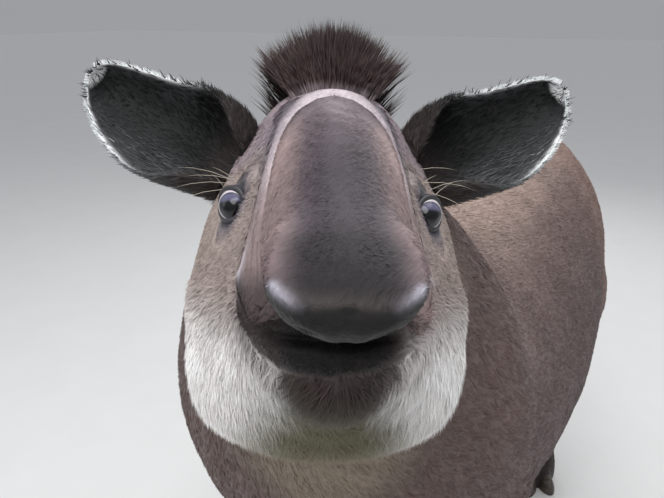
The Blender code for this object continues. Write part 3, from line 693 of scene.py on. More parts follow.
def trunk_colour(places, ways):
    """Brown flanks and neck, painted light that pales the upper flanks and the upward-facing top of the
    back, a warm rump that is partly painted light, and dark legs.
    """
    x, y, z = places.T
    wander = waves(places, 0.16, 3) * 0.5 + waves(places, 0.05, 4) * 0.5
    colour = mix(BELLY, FLANK, ramp(z + 0.02 * wander, 0.40, 0.66))
    # painted light: the flanks grow paler towards the top
    colour = mix(colour, UPPER_FLANK_PAINTED_LIGHT, ramp(z + 0.03 * wander, 0.70, 0.98) * 0.6)
    # painted light from above on the top of the back, where its surface faces up
    back = ramp(ways[:, 2], 0.55, 0.95) * ramp(z, 0.75, 0.95) * ramp(y, -0.35, -0.05)
    colour = mix(colour, BACK_PAINTED_LIGHT, back * 0.85)
    # warm rump, partly its own colour and partly painted light
    colour = mix(colour, HAUNCH_WARM_AND_PAINTED_LIGHT, ramp(y, 0.30, 0.62) * ramp(z, 0.45, 0.65) * 0.75)
    colour = mix(colour, NECK_BROWN, (1 - ramp(y, -0.42, -0.22)) * 0.7)
    colour = mix(colour, LEG_BROWN, 1 - ramp(z, 0.30, 0.52))
    colour = mix(colour, FOOT_DARK, 1 - ramp(z, 0.06, 0.22))
    return colour * (1 + 0.10 * wander)[:, None]


def face_colour(local, wander):
    """Brown cheeks and brow, the white beard, painted shade in olive under the chin and jaw, and the pale
    throat.
    """
    x, y, z = local.T
    wide = np.abs(y)
    colour = mix(NECK_BROWN, CHEEK, ramp(x + 0.3 * wide, -0.13, -0.06))
    colour = mix(colour, CHEEK_TAN, bell(z, -0.01, 0.05) * 0.5 * ramp(wide, 0.06, 0.09))
    colour = mix(colour, FOREHEAD, ramp(z, 0.030, 0.062))
    crown = 1 - ramp(x, -0.125, -0.080)
    colour = mix(colour, CREST_DARK, crown * ramp(z, 0.02, 0.07))
    colour = mix(colour, BEARD_WHITE, beard_share(local) * (0.90 + 0.15 * wander))
    # painted shade in olive under the middle of the chin, darkest towards the lips
    chin = (1 - ramp(wide + 0.010 * wander, 0.016, 0.062)) * ramp(-z, 0.100, 0.135)
    chin = chin * ramp(x, -0.20, -0.08)
    chin_shade_tone = mix(CHIN_PAINTED_SHADE, CHIN_PAINTED_DEEP_SHADE, ramp(x, 0.07, 0.12) * 0.8)
    colour = mix(colour, chin_shade_tone, chin * 0.94)
    # paler end of the painted shade under the chin, towards the throat
    low = (1 - ramp(wide, 0.035, 0.100)) * ramp(-z, 0.138, 0.168) * ramp(x, -0.18, -0.08)
    colour = mix(colour, CHIN_PAINTED_PALE_SHADE, low * (0.75 + 0.2 * wander))
    throat = (1 - ramp(z, -0.205, -0.165)) * (1 - ramp(x, -0.03, 0.04))
    return mix(colour, THROAT, throat * (1 - ramp(wide, 0.03, 0.085)) * 0.8)


def bridge_colour(local, wander):
    """The dome of the nose: dark along its middle, paler at its sides, frosted at the top."""
    x, y, z = local.T
    wide = np.abs(y)
    on_side = ramp(wide, 0.014, 0.036) * ramp(x, 0.030, 0.085) * (1 - 0.6 * ramp(x, 0.19, 0.23))
    colour = mix(BRIDGE, BRIDGE_SIDE, on_side * 0.9)
    colour = mix(colour, BRIDGE_DARK, ramp(x, 0.04, 0.15) * (1 - ramp(wide, 0.010, 0.036)))
    colour = mix(colour, BRIDGE_DARK, (1 - ramp(x, 0.040, 0.085)) * (0.18 + 0.50 * wander))
    frost = bell(y, 0.0, 0.020) * bell(x, 0.042, 0.032)
    return mix(colour, FOREHEAD, frost * (0.40 + 0.35 * wander))


def mark_dome_edge(colour, local):
    """The pale rim round the dome, the grey brow beside it, and painted shadow along the dome's edge and
    just inside it.
    """
    x, y, z = local.T
    wide = np.abs(y)
    past = past_dome(local)
    rim_wide = 0.012 + 0.010 * (1 - ramp(wide, 0.0, 0.03))
    rim = bell(past, 0.003 + rim_wide * 0.6, rim_wide) * (1 - ramp(x, 0.060, 0.115))
    colour = mix(colour, RIM_PALE, rim * ramp(past, 0.0, 0.003) * 0.70)
    brow = bell(past, 0.030, 0.017) * ramp(wide, 0.020, 0.045) * ramp(z, 0.0, 0.03)
    colour = mix(colour, BROW_GREY, brow * 0.45)
    top = 1 - ramp(x, 0.05, 0.10)
    # painted shadow: a dark line along the dome's edge, then painted shade just inside it over its darker
    # hair
    colour = darken(colour, 0.42 * bell(past, 0.0005, 0.0030) * top)
    return darken(colour, 0.20 * bell(past, -0.006, 0.006) * top)


def mark_eyes(colour, local):
    """Grey round the eyes, dark at the lids and in the fold above them."""
    x, y, z = local.T
    gap = eye_gap(local)
    colour = mix(colour, BROW_GREY, (1 - ramp(gap, 0.022, 0.040)) * 0.70)
    colour = mix(colour, LID_DARK, 1 - ramp(gap, 0.0180, 0.0240))
    fold = bell(np.hypot(x + 0.006, z - 0.028), 0.0, 0.011) * ramp(np.abs(y), 0.055, 0.064)
    return mix(colour, LID_DARK, fold * 0.75)


def mark_nose_tip(colour, local, ways):
    """The black tip, darker still with painted shade in its middle and on the downward-facing skin behind
    it, and a painted highlight at both ends of its upper edge.
    """
    x, y, z = local.T
    wide = np.abs(y)
    off_sheen, below = below_sheen(local)
    # dark bare skin below the highlight, deepened as painted shade
    colour = mix(colour, TIP_DARK_AND_SHADE, ramp(x, 0.200, 0.225) * ramp(below, -0.006, 0.003) * 0.95)
    # painted shade over the middle of the tip, where the top light catches its upper edge
    colour = darken(colour, 0.76 * ramp(x, 0.192, 0.218) * (1 - ramp(wide, 0.016, 0.038)))
    # painted highlight at both ends of the tip's upper edge, faint in its middle
    sheen = bell(off_sheen, 0, 0.0032) * (0.03 + 0.97 * ramp(wide, 0.016, 0.034))
    colour = mix(colour, TIP_PAINTED_SHEEN, sheen * 0.88)
    # painted shade on downward-facing skin behind the tip
    under = ramp(-ways @ np.array(UP), 0.30, 0.75) * ramp(x, 0.145, 0.175)
    return mix(colour, LIP_DARK_AND_SHADE, under)


def mark_mouth(colour, local):
    """The brown flews and the dark lips, their own dark skin deepened with painted shade under the nose, and
    a painted highlight at the corner of the mouth.
    """
    x, y, z = local.T
    wide = np.abs(y)
    # brown flews, partly their own colour and partly painted shade under the nose
    flews = ramp(-z - 0.10 * (x - 0.1), 0.058, 0.082) * ramp(x, 0.060, 0.090)
    flews = flews * (1 - ramp(x, 0.205, 0.225)) * (1 - ramp(y, 0.028, 0.048))
    colour = mix(colour, LIP_BROWN_AND_SHADE, flews * (1 - beard_share(local)) * 0.92)
    # dark lips, partly their own skin and partly painted shade
    lip_tone = mix(LIP_DARK_AND_SHADE, LIP_BROWN_AND_SHADE, ramp(wide, 0.020, 0.050) * 0.8)
    colour = mix(colour, lip_tone, lips_share(local))
    # painted highlight on the wet corner of the mouth
    spot = np.linalg.norm(np.stack([x - 0.088, wide - 0.061, 0.8 * (z + 0.062)], axis=1), axis=1)
    return mix(colour, MOUTH_CORNER_PAINTED_SHEEN, bell(spot, 0, 0.0105) * 0.85)


def head_colour(places, ways):
    local = in_head(places)
    wander = waves(places, 0.06, 5) * 0.5 + waves(places, 0.018, 6) * 0.5
    colour = mix(face_colour(local, wander), bridge_colour(local, wander), snout_share(local))
    colour = mark_dome_edge(colour, local)
    colour = mark_eyes(colour, local)
    colour = mark_nose_tip(colour, local, ways)
    colour = mark_mouth(colour, local)
    return colour * (1 + 0.10 * wander)[:, None]


def hide_colour(places, ways):
    """The markings and the painted light and shade, shared by the skin and the coat over it."""
    share = head_share(places)
    colour = mix(trunk_colour(places, ways), head_colour(places, ways), share)
    local = in_head(places)
    gap = np.linalg.norm((local - (-0.13, 0, -0.23)) * (1, 1.1, 1), axis=1)
    throat = (1 - ramp(gap, 0.070, 0.165)) * ramp(-local[:, 2], 0.150, 0.185)
    return mix(colour, THROAT, throat * 0.75)


def lie_of_coat(places, ways):
    """The direction that the hair points, along the surface."""
    local = in_head(places)
    x, y, z = local.T
    side = np.sign(y)
    none = np.zeros(len(x))
    ones = np.ones(len(x))
    in_face = np.stack([-ones, 0.25 * side, -0.25 * ones], axis=1)
    in_beard = np.stack([-0.35 - 0.5 * ramp(-z, 0.13, 0.17), 0.25 * side, -ones], axis=1)
    on_nose = np.stack([0.15 * ones, 1.2 * side * ramp(np.abs(y), 0.0, 0.01), -0.35 * ones], axis=1)
    on_head_way = mix(in_face, in_beard, beard_share(local))
    on_head_way = out_of_head(mix(on_head_way, on_nose, snout_share(local)))
    neck = 1 - ramp(places[:, 1], -0.40, -0.20)
    on_trunk = np.stack([none, ones, -0.35 - 0.5 * neck], axis=1)
    leg = 1 - ramp(places[:, 2], 0.35, 0.60)
    on_trunk = mix(on_trunk, np.stack([none, 0.15 * ones, -ones], axis=1), leg)
    way = mix(on_trunk, on_head_way, head_share(places))
    way += 0.18 * np.stack([waves(places, 0.10, seed) for seed in (21, 22, 23)], axis=1)
    return along_surface(way, ways)


def unit(ways):
    return ways / np.maximum(np.linalg.norm(ways, axis=1), 1e-9)[:, None]


def along_surface(way, ways):
    """Directions laid flat against a surface with the given normals."""
    return unit(way - ways * np.sum(way * ways, axis=1)[:, None])


def bent_up(lie, ways, rise):
    """Directions lifted from the surface by an angle."""
    return unit(lie * np.cos(rise)[:, None] + ways * np.sin(rise)[:, None])


def shape_skin():
    """Joins the drawn forms to one closed skin, fine on the face."""
    forms = [draw_trunk(), draw_face(), draw_snout(), draw_tail(), draw_lip(LOWER_LIP, True)]
    for side in (1, -1):
        forms += [draw_leg(FRONT_LEG, side), draw_leg(HIND_LEG, side)]
        forms.append(draw_lip([(x, side * y, z) for x, y, z in UPPER_LIP], False))
    for _, *toe in feet():
        forms.append(draw_toe(*toe))
    select_only(*forms)
    bpy.ops.object.join()
    skin = bpy.context.view_layer.objects.active
    skin.name = skin.data.name = "tapir_skin"
    finish_with(skin, "REMESH", mode="VOXEL", voxel_size=0.0036, adaptivity=0.0)
    places = points_of(skin)
    head = head_share(places)
    strength = 0.5 - 0.25 * head * ramp(in_head(places)[:, 0], 0.05, 0.12)
    relax(skin, strength, 14)
    refine_face(skin)
    return skin


def refine_face(skin):
    """Halves the mesh on the face, where the folds and lips are."""
    local = in_head(points_of(skin))
    fine = (local[:, 0] > -0.045) & (local[:, 2] > -0.16)
    shell = bmesh.new()
    shell.from_mesh(skin.data)
    edges = [edge for edge in shell.edges if fine[edge.verts[0].index] and fine[edge.verts[1].index]]
    bmesh.ops.subdivide_edges(shell, edges=edges, cuts=1, use_grid_fill=True)
    bmesh.ops.triangulate(shell, faces=[face for face in shell.faces if len(face.verts) > 4])
    shell.to_mesh(skin.data)
    shell.free()
    local = in_head(points_of(skin))
    relax(skin, 0.5 * ramp(local[:, 0], -0.10, -0.05), 3)
    x, y, z = local.T
    wide = np.abs(y)
    beside_nose = bell(x, 0.080, 0.034) * bell(z, -0.040, 0.030) * ramp(wide, 0.030, 0.044)
    under_tip = bell(x, 0.172, 0.024) * bell(z, -0.104, 0.014) * ramp(wide, 0.012, 0.024)
    relax(skin, 0.5 * np.clip(np.maximum(beside_nose, under_tip) * 1.6, 0, 1), 60)


def gaze(side):
    outward = FORWARD * math.cos(EYE_OUTWARD) + LEFT * (side * math.sin(EYE_OUTWARD))
    across = UP.cross(outward).normalized()
    return outward, across, outward.cross(across)


def past_opening(side, places):
    """Degrees past the edge of the lids' opening and the distance from the eyeball's middle."""
    outward, across, rise = (np.array(way) for way in gaze(side))
    away = places - np.array(eye_centre(side))
    reach = np.maximum(np.linalg.norm(away, axis=1), 1e-6)
    tilt = np.degrees(np.arccos(np.clip(away @ outward / reach, -1, 1)))
    flat = np.stack([away @ across * side, away @ rise], axis=1)
    flat /= np.maximum(np.linalg.norm(flat, axis=1), 1e-9)[:, None]
    wide = np.where(flat[:, 0] > 0, OPENING["away"], OPENING["nose"])
    tall = np.where(flat[:, 1] > 0, OPENING["up"], OPENING["down"])
    edge = 1 / np.hypot(flat[:, 0] / wide, flat[:, 1] / tall)
    return tilt - edge, reach


def press_mouth(push, local):
    """The parting of the lips with its corner, the folds behind it and the ripples over it."""
    x, y, z = local.T
    wide = np.abs(y)
    line = path_distance(local[:, [0, 2]], MOUTH_LINE)
    at_mouth = ramp(x, 0.078, 0.092) * (1 - ramp(x, 0.200, 0.215))
    push -= 0.0050 * bell(line, 0, 0.0022) * at_mouth
    push += 0.0012 * bell(line, 0.0062, 0.0030) * at_mouth
    corner = np.hypot(x - 0.076, z + 0.066)
    push -= 0.0022 * bell(corner, 0, 0.0060) * ramp(wide, 0.04, 0.05)
    for shift, depth in ((-0.010, 0.0010), (-0.019, 0.0008), (-0.028, 0.0005)):
        fold = bell(x - 0.08 - shift + 0.5 * (z + 0.066), 0, 0.0022) * bell(z, -0.070, 0.022)
        push -= depth * fold * ramp(wide, 0.045, 0.055)
    ripple = np.sin((x + 0.35 * z) * 2 * math.pi / 0.0105 + 2.2 * waves(local, 0.05, 9))
    on_side = ramp(wide, 0.026, 0.038) * ramp(x, 0.09, 0.13) * (1 - ramp(x, 0.20, 0.225))
    push += 0.0005 * ripple * (on_side * ramp(-z, 0.045, 0.080))


def press_nose(push, local):
    """The nostrils, the groove between them and the raised edge of the dome."""
    x, y, z = local.T
    wide = np.abs(y)
    nostril = np.linalg.norm((folded(local) - NOSTRIL) / NOSTRIL_SIZE, axis=1)
    push -= 0.0080 * bell(nostril, 0, 0.75)
    push -= 0.0018 * (bell(y, 0, 0.0035) * ramp(x, 0.215, 0.235) * ramp(-z, 0.098, 0.108))
    past = past_dome(local)
    fading = 1 - ramp(x, 0.085, 0.125)
    push += 0.0026 * bell(past, -0.0050, 0.0055) * fading
    push -= 0.0042 * bell(past, 0.0055, 0.0055) * fading
    push += 0.0040 * bell(past, 0.0240, 0.0120) * (1 - ramp(wide, 0.020, 0.040)) * fading


def press_brow(push, local):
    """The hollow beside the brow, the cheekbone, and the raised skin and folds round the eyes."""
    x, y, z = local.T
    wide = np.abs(y)
    push -= 0.0022 * bell(x + 0.010, 0, 0.020) * bell(wide, 0.058, 0.009) * bell(z, 0.042, 0.018)
    cheekbone = bell(x, -0.062, 0.036) * bell(z, 0.004, 0.036) * ramp(wide, 0.052, 0.078)
    push += 0.0068 * cheekbone
    orbit = np.hypot(x - 0.002, z + 0.002)
    push += 0.0070 * bell(orbit, 0, 0.030) * ramp(wide, 0.045, 0.060)
    above = ramp(z, -0.002, 0.010)
    below = ramp(-z, 0.002, 0.010)
    folds = (
        (0.0016, 0.0265, 0.0040, above),
        (-0.0012, 0.0330, 0.0028, above),
        (-0.0010, 0.0290, 0.0024, below),
        (0.0010, 0.0345, 0.0034, below),
    )
    for side, seat in EYE_SEAT.items():
        ring = np.hypot(x - seat[0] - 0.002, (z - seat[2]) * 0.95)
        near = ramp(side * y, 0.035, 0.050)
        for height, radius, width, where in folds:
            push += height * bell(ring, radius, width) * near * where


def raise_tip_ends(local):
    """How far up the ends of the nose's tip turn."""
    x, y, z = local.T
    lobe = ramp(x, 0.150, 0.205) * ramp(-(z + 0.060 + 0.9 * (x - 0.205)), -0.004, 0.020)
    rise = (0.0045 + 0.0095 * ramp(np.abs(y), 0.014, 0.042)) * lobe
    return out_of_head(np.stack([0 * x, 0 * x, rise], axis=1))


def fold_trunk(places, ways, trunk):
    """Folds of skin at the elbows and shallow lumps over the trunk."""
    fold = np.sin((places[:, 1] * 0.6 + places[:, 2]) * 2 * math.pi / 0.045)
    near = bell(np.hypot(places[:, 1] - ELBOW[0], places[:, 2] - ELBOW[1]), 0, 0.09)
    places += ways * (0.0016 * fold * near * trunk)[:, None]
    lumps = waves(places, 0.22, 31) * 0.0020 + waves(places, 0.09, 32) * 0.0009
    lumps = np.minimum(lumps, 0.001) * trunk * ramp(places[:, 2], 0.05, 0.3)
    places += ways * lumps[:, None]


def sink_socket(side, places):
    """Sets the skin back behind the lids' opening and close round the eyeball beside it."""
    past, reach = past_opening(side, places)
    sunk = 1 - ramp(past, 8, 15)
    near = 1 - ramp(reach, 0.0165, 0.030)
    raised = np.maximum(reach, EYE_RADIUS + 0.0016)
    beside = reach + (raised - reach) * near
    wanted = sunk * np.minimum(reach, EYE_RADIUS - 0.0030) + (1 - sunk) * beside
    change = np.where((reach < 0.045) & (past < 60), wanted / reach, 1)
    centre = np.array(eye_centre(side))
    return centre + (places - centre) * change[:, None]


def sculpt(skin):
    """Sinks the skin by the coat's depth, then presses in the sockets, folds, mouth and nostrils."""
    places = points_of(skin)
    ways = normals_of(skin)
    local = in_head(places)
    head = head_share(places)
    places -= ways * coat_depth(places)[:, None]
    push = np.zeros(len(places))
    press_mouth(push, local)
    press_nose(push, local)
    press_brow(push, local)
    places += ways * (push * head)[:, None]
    places += raise_tip_ends(local)
    fold_trunk(places, ways, 1 - head)
    for side in SIDE_WORD:
        places = sink_socket(side, places)
    places[:, 2] = np.maximum(places[:, 2], 0.0006)
    set_points(skin, places)


def lighten(skin):
    """Thins the mesh on the trunk, where it is plain, and leaves the face as it is."""
    on_face = ramp(in_head(points_of(skin))[:, 0], -0.16, -0.08)
    tenths = (10 * (1 - on_face)).astype(int)
    group = skin.vertex_groups.new(name="plain")
    for share in np.unique(tenths):
        group.add(np.nonzero(tenths == share)[0].tolist(), float(share) / 10, "REPLACE")
    triangles = sum(len(face.vertices) - 2 for face in skin.data.polygons)
    finish_with(
        skin,
        "DECIMATE",
        ratio=SKIN_TRIANGLES / triangles,
        vertex_group="plain",
        vertex_group_factor=4.0,
        use_collapse_triangulate=True,
    )
    skin.vertex_groups.clear()


def unwrap(item):
    """A map named OFBake over the piece's own shape."""
    select_only(item)
    for old in list(item.data.uv_layers):
        item.data.uv_layers.remove(old)
    item.data.uv_layers.new(name="OFBake")
    bpy.ops.object.mode_set(mode="EDIT")
    bpy.ops.mesh.select_all(action="SELECT")
    bpy.ops.uv.smart_project(angle_limit=math.radians(66), island_margin=0.002)
    bpy.ops.object.mode_set(mode="OBJECT")


def set_colours(item, colours):
    layer = item.data.attributes.get("coat") or item.data.attributes.new("coat", "FLOAT_COLOR", "POINT")
    packed = np.hstack([np.clip(colours, 0, 1), np.ones((len(colours), 1))])
    layer.data.foreach_set("color", packed.ravel().astype(np.float32))


def smooth_shade(item):
    item.data.polygons.foreach_set("use_smooth", np.ones(len(item.data.polygons), bool))


class Ground:
    """The surface that tufts grow from: its triangles, their map and their directions."""

    def __init__(self, item):
        mesh = item.data
        mesh.calc_loop_triangles()
        count = len(mesh.loop_triangles)
        corners = np.empty(count * 3, np.int32)
        mesh.loop_triangles.foreach_get("vertices", corners)
        loops = np.empty(count * 3, np.int32)
        mesh.loop_triangles.foreach_get("loops", loops)
        layer = np.empty(len(mesh.loops) * 2, np.float32)
        mesh.uv_layers["OFBake"].data.foreach_get("uv", layer)
        self.points = points_of(item)[corners.reshape(-1, 3)]
        self.ways = normals_of(item)[corners.reshape(-1, 3)]
        self.map = layer.reshape(-1, 2)[loops.reshape(-1, 3)].astype(float)
        cross = np.cross(self.points[:, 1] - self.points[:, 0], self.points[:, 2] - self.points[:, 0])
        self.area = np.linalg.norm(cross, axis=1) / 2
        self.centres = self.points.mean(axis=1)
        loose = self.points.reshape(-1, 3)
        self.tree = BVHTree.FromPolygons(loose.tolist(), np.arange(len(loose)).reshape(-1, 3).tolist())

    def roots(self, count, density):
        """Random roots, set as densely as the density says at each triangle's centre."""
        weight = self.area * density(self.centres, self.ways.mean(axis=1))
        picks = CHANCE.choice(len(weight), count, p=weight / weight.sum())
        share = CHANCE.dirichlet((1, 1, 1), count)[:, :, None]
        places = (self.points[picks] * share).sum(axis=1)
        ways = (self.ways[picks] * share).sum(axis=1)
        ways /= np.linalg.norm(ways, axis=1)[:, None]
        return places, ways, (self.map[picks] * share).sum(axis=1)

    def map_at(self, triangle):
        return self.map[triangle].mean(axis=0)


def build_tufts(name, spine, across, width, maps, colours, taper):
    """Flat blades along the given spines, each with its patch on the map at its root's place."""
    count, levels = spine.shape[:2]
    per_blade = 2 * (levels - 1) + 1
    points = np.empty((count, per_blade, 3))
    tints = np.empty((count, per_blade, 4), np.float32)
    patch = np.empty((per_blade, 2))
    for level in range(levels - 1):
        side = across * (width * taper[level] / 2)[:, None]
        points[:, 2 * level] = spine[:, level] - side
        points[:, 2 * level + 1] = spine[:, level] + side
        rise = 0.003 * level / (levels - 1)
        patch[2 * level] = (-0.0015 * taper[level], rise)
        patch[2 * level + 1] = (0.0015 * taper[level], rise)
        tints[:, 2 * level, :3] = tints[:, 2 * level + 1, :3] = colours[:, level]
    points[:, -1] = spine[:, -1]
    patch[-1] = (0, 0.003)
    tints[:, -1, :3] = colours[:, -1]
    tints[:, :, 3] = 1
    faces = []
    for level in range(levels - 2):
        a = 2 * level
        faces += [(a, a + 1, a + 3), (a, a + 3, a + 2)]
    last = 2 * (levels - 2)
    faces.append((last, last + 1, last + 2))
    faces = np.array(faces, np.int32)
    whole = (faces[None] + (np.arange(count, dtype=np.int32) * per_blade)[:, None, None]).reshape(-1)
    mesh = bpy.data.meshes.new(name)
    mesh.vertices.add(count * per_blade)
    mesh.vertices.foreach_set("co", points.ravel())
    mesh.loops.add(len(whole))
    mesh.loops.foreach_set("vertex_index", whole)
    mesh.polygons.add(len(whole) // 3)
    mesh.polygons.foreach_set("loop_start", np.arange(0, len(whole), 3, dtype=np.int32))
    mesh.update(calc_edges=True)
    layer = mesh.uv_layers.new(name="OFBake")
    on_map = (maps[:, None, :] + patch[None]).reshape(-1, 2)[whole]
    layer.data.foreach_set("uv", on_map.ravel().astype(np.float32))
    tint = mesh.attributes.new("coat", "FLOAT_COLOR", "POINT")
    tint.data.foreach_set("color", np.clip(tints, 0, 1).ravel())
    mesh.polygons.foreach_set("use_smooth", np.ones(len(mesh.polygons), bool))
    return add_object(name, mesh)


def grow(name, ground, count, density, length, width, lift, jitter, tip_shade):
    """Short hair in tufts that lie along the coat."""
    count = int(count * THIN)
    places, ways, maps = ground.roots(count, density)
    lie = lie_of_coat(places, ways)
    lean = CHANCE.normal(0, jitter, count)
    lie = unit(lie + np.cross(ways, lie) * lean[:, None])
    long = length(places) * CHANCE.uniform(0.7, 1.15, count)
    rise = np.clip(lift * CHANCE.uniform(0.6, 1.4, count), 0.05, 1.4)
    root = places - ways * (0.0002 + 0.02 * long)[:, None]
    middle = root + bent_up(lie, ways, rise) * (long * 0.5)[:, None]
    tip = middle + bent_up(lie, ways, rise * 0.4) * (long * 0.5)[:, None]
    spine = np.stack([root, middle, tip], axis=1)
    spine[:, :, 2] = np.maximum(spine[:, :, 2], 0.0008)
    across = bent_up(np.cross(ways, lie), ways, CHANCE.normal(0, 0.35, count))
    base = hide_colour(places, ways) * (1 + CHANCE.normal(0, 0.10, count))[:, None]
    tones = np.stack([base * 0.90, base, base * tip_shade], axis=1)
    wide = width(places) * CHANCE.uniform(0.75, 1.25, count)
    return build_tufts(name, spine, across, wide, maps, tones, (1.0, 0.85))


def new_finish(name):
    finish = bpy.data.materials.new(name)
    finish.use_nodes = True
    tree = finish.node_tree
    return finish, tree, tree.nodes["Principled BSDF"]


def node(tree, kind, **settings):
    made = tree.nodes.new(kind)
    for key, value in settings.items():
        setattr(made, key, value)
    return made


def add_noise(tree, scale, detail, stretch=(1, 1, 1)):
    where = node(tree, "ShaderNodeTexCoord")
    turn = node(tree, "ShaderNodeMapping")
    turn.inputs["Scale"].default_value = stretch
    made = node(tree, "ShaderNodeTexNoise")
    made.inputs["Scale"].default_value = scale
    made.inputs["Detail"].default_value = detail
    made.inputs["Roughness"].default_value = 0.55
    tree.links.new(where.outputs["Object"], turn.inputs["Vector"])
    tree.links.new(turn.outputs["Vector"], made.inputs["Vector"])
    return made.outputs["Fac"]


def two_tones(tree, value, dark, light, low=0.0, high=1.0):
    """A colour between two by a pattern's value."""
    tones = node(tree, "ShaderNodeValToRGB")
    for stop, place, tone in zip(tones.color_ramp.elements, (low, high), (dark, light)):
        stop.position = place
        stop.color = (*tone, 1)
    tree.links.new(value, tones.inputs["Fac"])
    return tones.outputs["Color"]


def vary(tree, colour, value, low, high):
    """The colour made darker and lighter by a pattern's value."""
    span = node(tree, "ShaderNodeMapRange")
    span.inputs["To Min"].default_value = low
    span.inputs["To Max"].default_value = high
    span.inputs["From Min"].default_value = 0.3
    span.inputs["From Max"].default_value = 0.7
    tree.links.new(value, span.inputs["Value"])
    made = node(tree, "ShaderNodeVectorMath", operation="SCALE")
    tree.links.new(colour, made.inputs[0])
    tree.links.new(span.outputs["Result"], made.inputs["Scale"])
    return made.outputs["Vector"]


def add_bump(tree, shader, value, strength, distance, before=None):
    bump = node(tree, "ShaderNodeBump")
    bump.inputs["Strength"].default_value = strength
    bump.inputs["Distance"].default_value = distance
    tree.links.new(value, bump.inputs["Height"])
    if before is not None:
        tree.links.new(before.outputs["Normal"], bump.inputs["Normal"])
    tree.links.new(bump.outputs["Normal"], shader.inputs["Normal"])
    return bump


def make_hide():
    finish, tree, shader = new_finish("short_coat_on_skin")
    tint = node(tree, "ShaderNodeAttribute", attribute_name="coat")
    patches = add_noise(tree, 35, 5)
    hairs = add_noise(tree, 420, 3, (1.0, 0.22, 0.6))
    pores = add_noise(tree, 900, 2)
    colour = vary(tree, tint.outputs["Color"], patches, 0.86, 1.12)
    colour = vary(tree, colour, hairs, 0.82, 1.18)
    tree.links.new(colour, shader.inputs["Base Color"])
    shader.inputs["Roughness"].default_value = 0.62
    shader.inputs["Specular IOR Level"].default_value = 0.24
    shader.inputs["Sheen Weight"].default_value = 0.06
    shader.inputs["Sheen Roughness"].default_value = 0.5
    first = add_bump(tree, shader, hairs, 0.7, 0.0016)
    add_bump(tree, shader, pores, 0.3, 0.0006, first)
    return finish


def make_tuft_finish():
    finish, tree, shader = new_finish("coat_hair")
    tint = node(tree, "ShaderNodeAttribute", attribute_name="coat")
    strands = add_noise(tree, 1400, 2)
    colour = vary(tree, tint.outputs["Color"], strands, 0.86, 1.14)
    tree.links.new(colour, shader.inputs["Base Color"])
    shader.inputs["Roughness"].default_value = 0.55
    shader.inputs["Specular IOR Level"].default_value = 0.16
    return finish


def make_lid_finish():
    finish, tree, shader = new_finish("bare_eyelid")
    patches = add_noise(tree, 160, 4)
    wrinkle = add_noise(tree, 700, 3)
    colour = two_tones(tree, patches, linear(22, 21, 23), linear(66, 65, 70))
    tree.links.new(colour, shader.inputs["Base Color"])
    shader.inputs["Roughness"].default_value = 0.42
    add_bump(tree, shader, wrinkle, 0.5, 0.0005)
    return finish


# painted reflection of the sky on the upper half of the iris
IRIS_PAINTED_SKY_REFLECTION = ((0.0, (58, 57, 76)), (0.20, (84, 82, 106)), (0.44, (94, 92, 117)), (0.500, (56, 54, 68)))
DARK_IRIS = ((0.0, (8, 8, 12)), (0.20, (9, 9, 13)), (0.44, (22, 21, 30)), (0.500, (24, 23, 28)))
EYE_WHITE = (
    (0.525, (28, 26, 28)),
    (0.560, (205, 200, 206)),
    (0.72, (200, 190, 190)),
    (0.84, (74, 64, 60)),
    (1.0, (50, 44, 42)),
)


def add_rings(tree, value, stops):
    """Rings of colour round the gaze."""
    rings = node(tree, "ShaderNodeValToRGB")
    elements = rings.color_ramp.elements
    elements[0].color = (*linear(*stops[0][1]), 1)
    elements[1].color = (*linear(*stops[-1][1]), 1)
    for place, colour in stops[1:-1]:
        elements.new(place).color = (*linear(*colour), 1)
    tree.links.new(value, rings.inputs["Fac"])
    return rings.outputs["Color"]


def make_eye_finish():
    """A dark iris, blue-grey above from a painted reflection of the sky, and its white, under a wet film."""
    finish, tree, shader = new_finish("wet_eye")
    angle = node(tree, "ShaderNodeAttribute", attribute_name="from_gaze")
    height = node(tree, "ShaderNodeAttribute", attribute_name="height")
    spokes = add_noise(tree, 900, 3)
    uneven = node(tree, "ShaderNodeMath", operation="MULTIPLY_ADD")
    uneven.inputs[1].default_value = 0.04
    tree.links.new(spokes, uneven.inputs[0])
    tree.links.new(angle.outputs["Fac"], uneven.inputs[2])
    # the upper half of the eye takes the painted sky reflection, the lower half the iris's own dark
    bright = add_rings(tree, uneven.outputs["Value"], IRIS_PAINTED_SKY_REFLECTION + EYE_WHITE)
    dark = add_rings(tree, uneven.outputs["Value"], DARK_IRIS + EYE_WHITE)
    part = node(tree, "ShaderNodeMapRange")
    part.inputs["From Min"].default_value = -0.06
    part.inputs["From Max"].default_value = 0.10
    halves = node(tree, "ShaderNodeMix", data_type="RGBA")
    tree.links.new(height.outputs["Fac"], part.inputs["Value"])
    tree.links.new(part.outputs["Result"], halves.inputs["Factor"])
    tree.links.new(dark, halves.inputs[6])
    tree.links.new(bright, halves.inputs[7])
    tree.links.new(halves.outputs[2], shader.inputs["Base Color"])
    shader.inputs["Roughness"].default_value = 0.30
    shader.inputs["Specular IOR Level"].default_value = 0.05
    shader.inputs["Coat Weight"].default_value = 0.8
    shader.inputs["Coat Roughness"].default_value = 0.03
    return finish


def make_horn():
    finish, tree, shader = new_finish("hoof_horn")
    layers = add_noise(tree, 90, 5, (1, 1, 4))
    grain = add_noise(tree, 500, 3, (3, 3, 0.4))
    colour = two_tones(tree, layers, linear(38, 33, 30), linear(92, 80, 70), 0.3, 0.75)
    colour = vary(tree, colour, grain, 0.85, 1.15)
    tree.links.new(colour, shader.inputs["Base Color"])
    shader.inputs["Roughness"].default_value = 0.38
    first = add_bump(tree, shader, layers, 0.5, 0.0010)
    add_bump(tree, shader, grain, 0.4, 0.0004, first)
    return finish


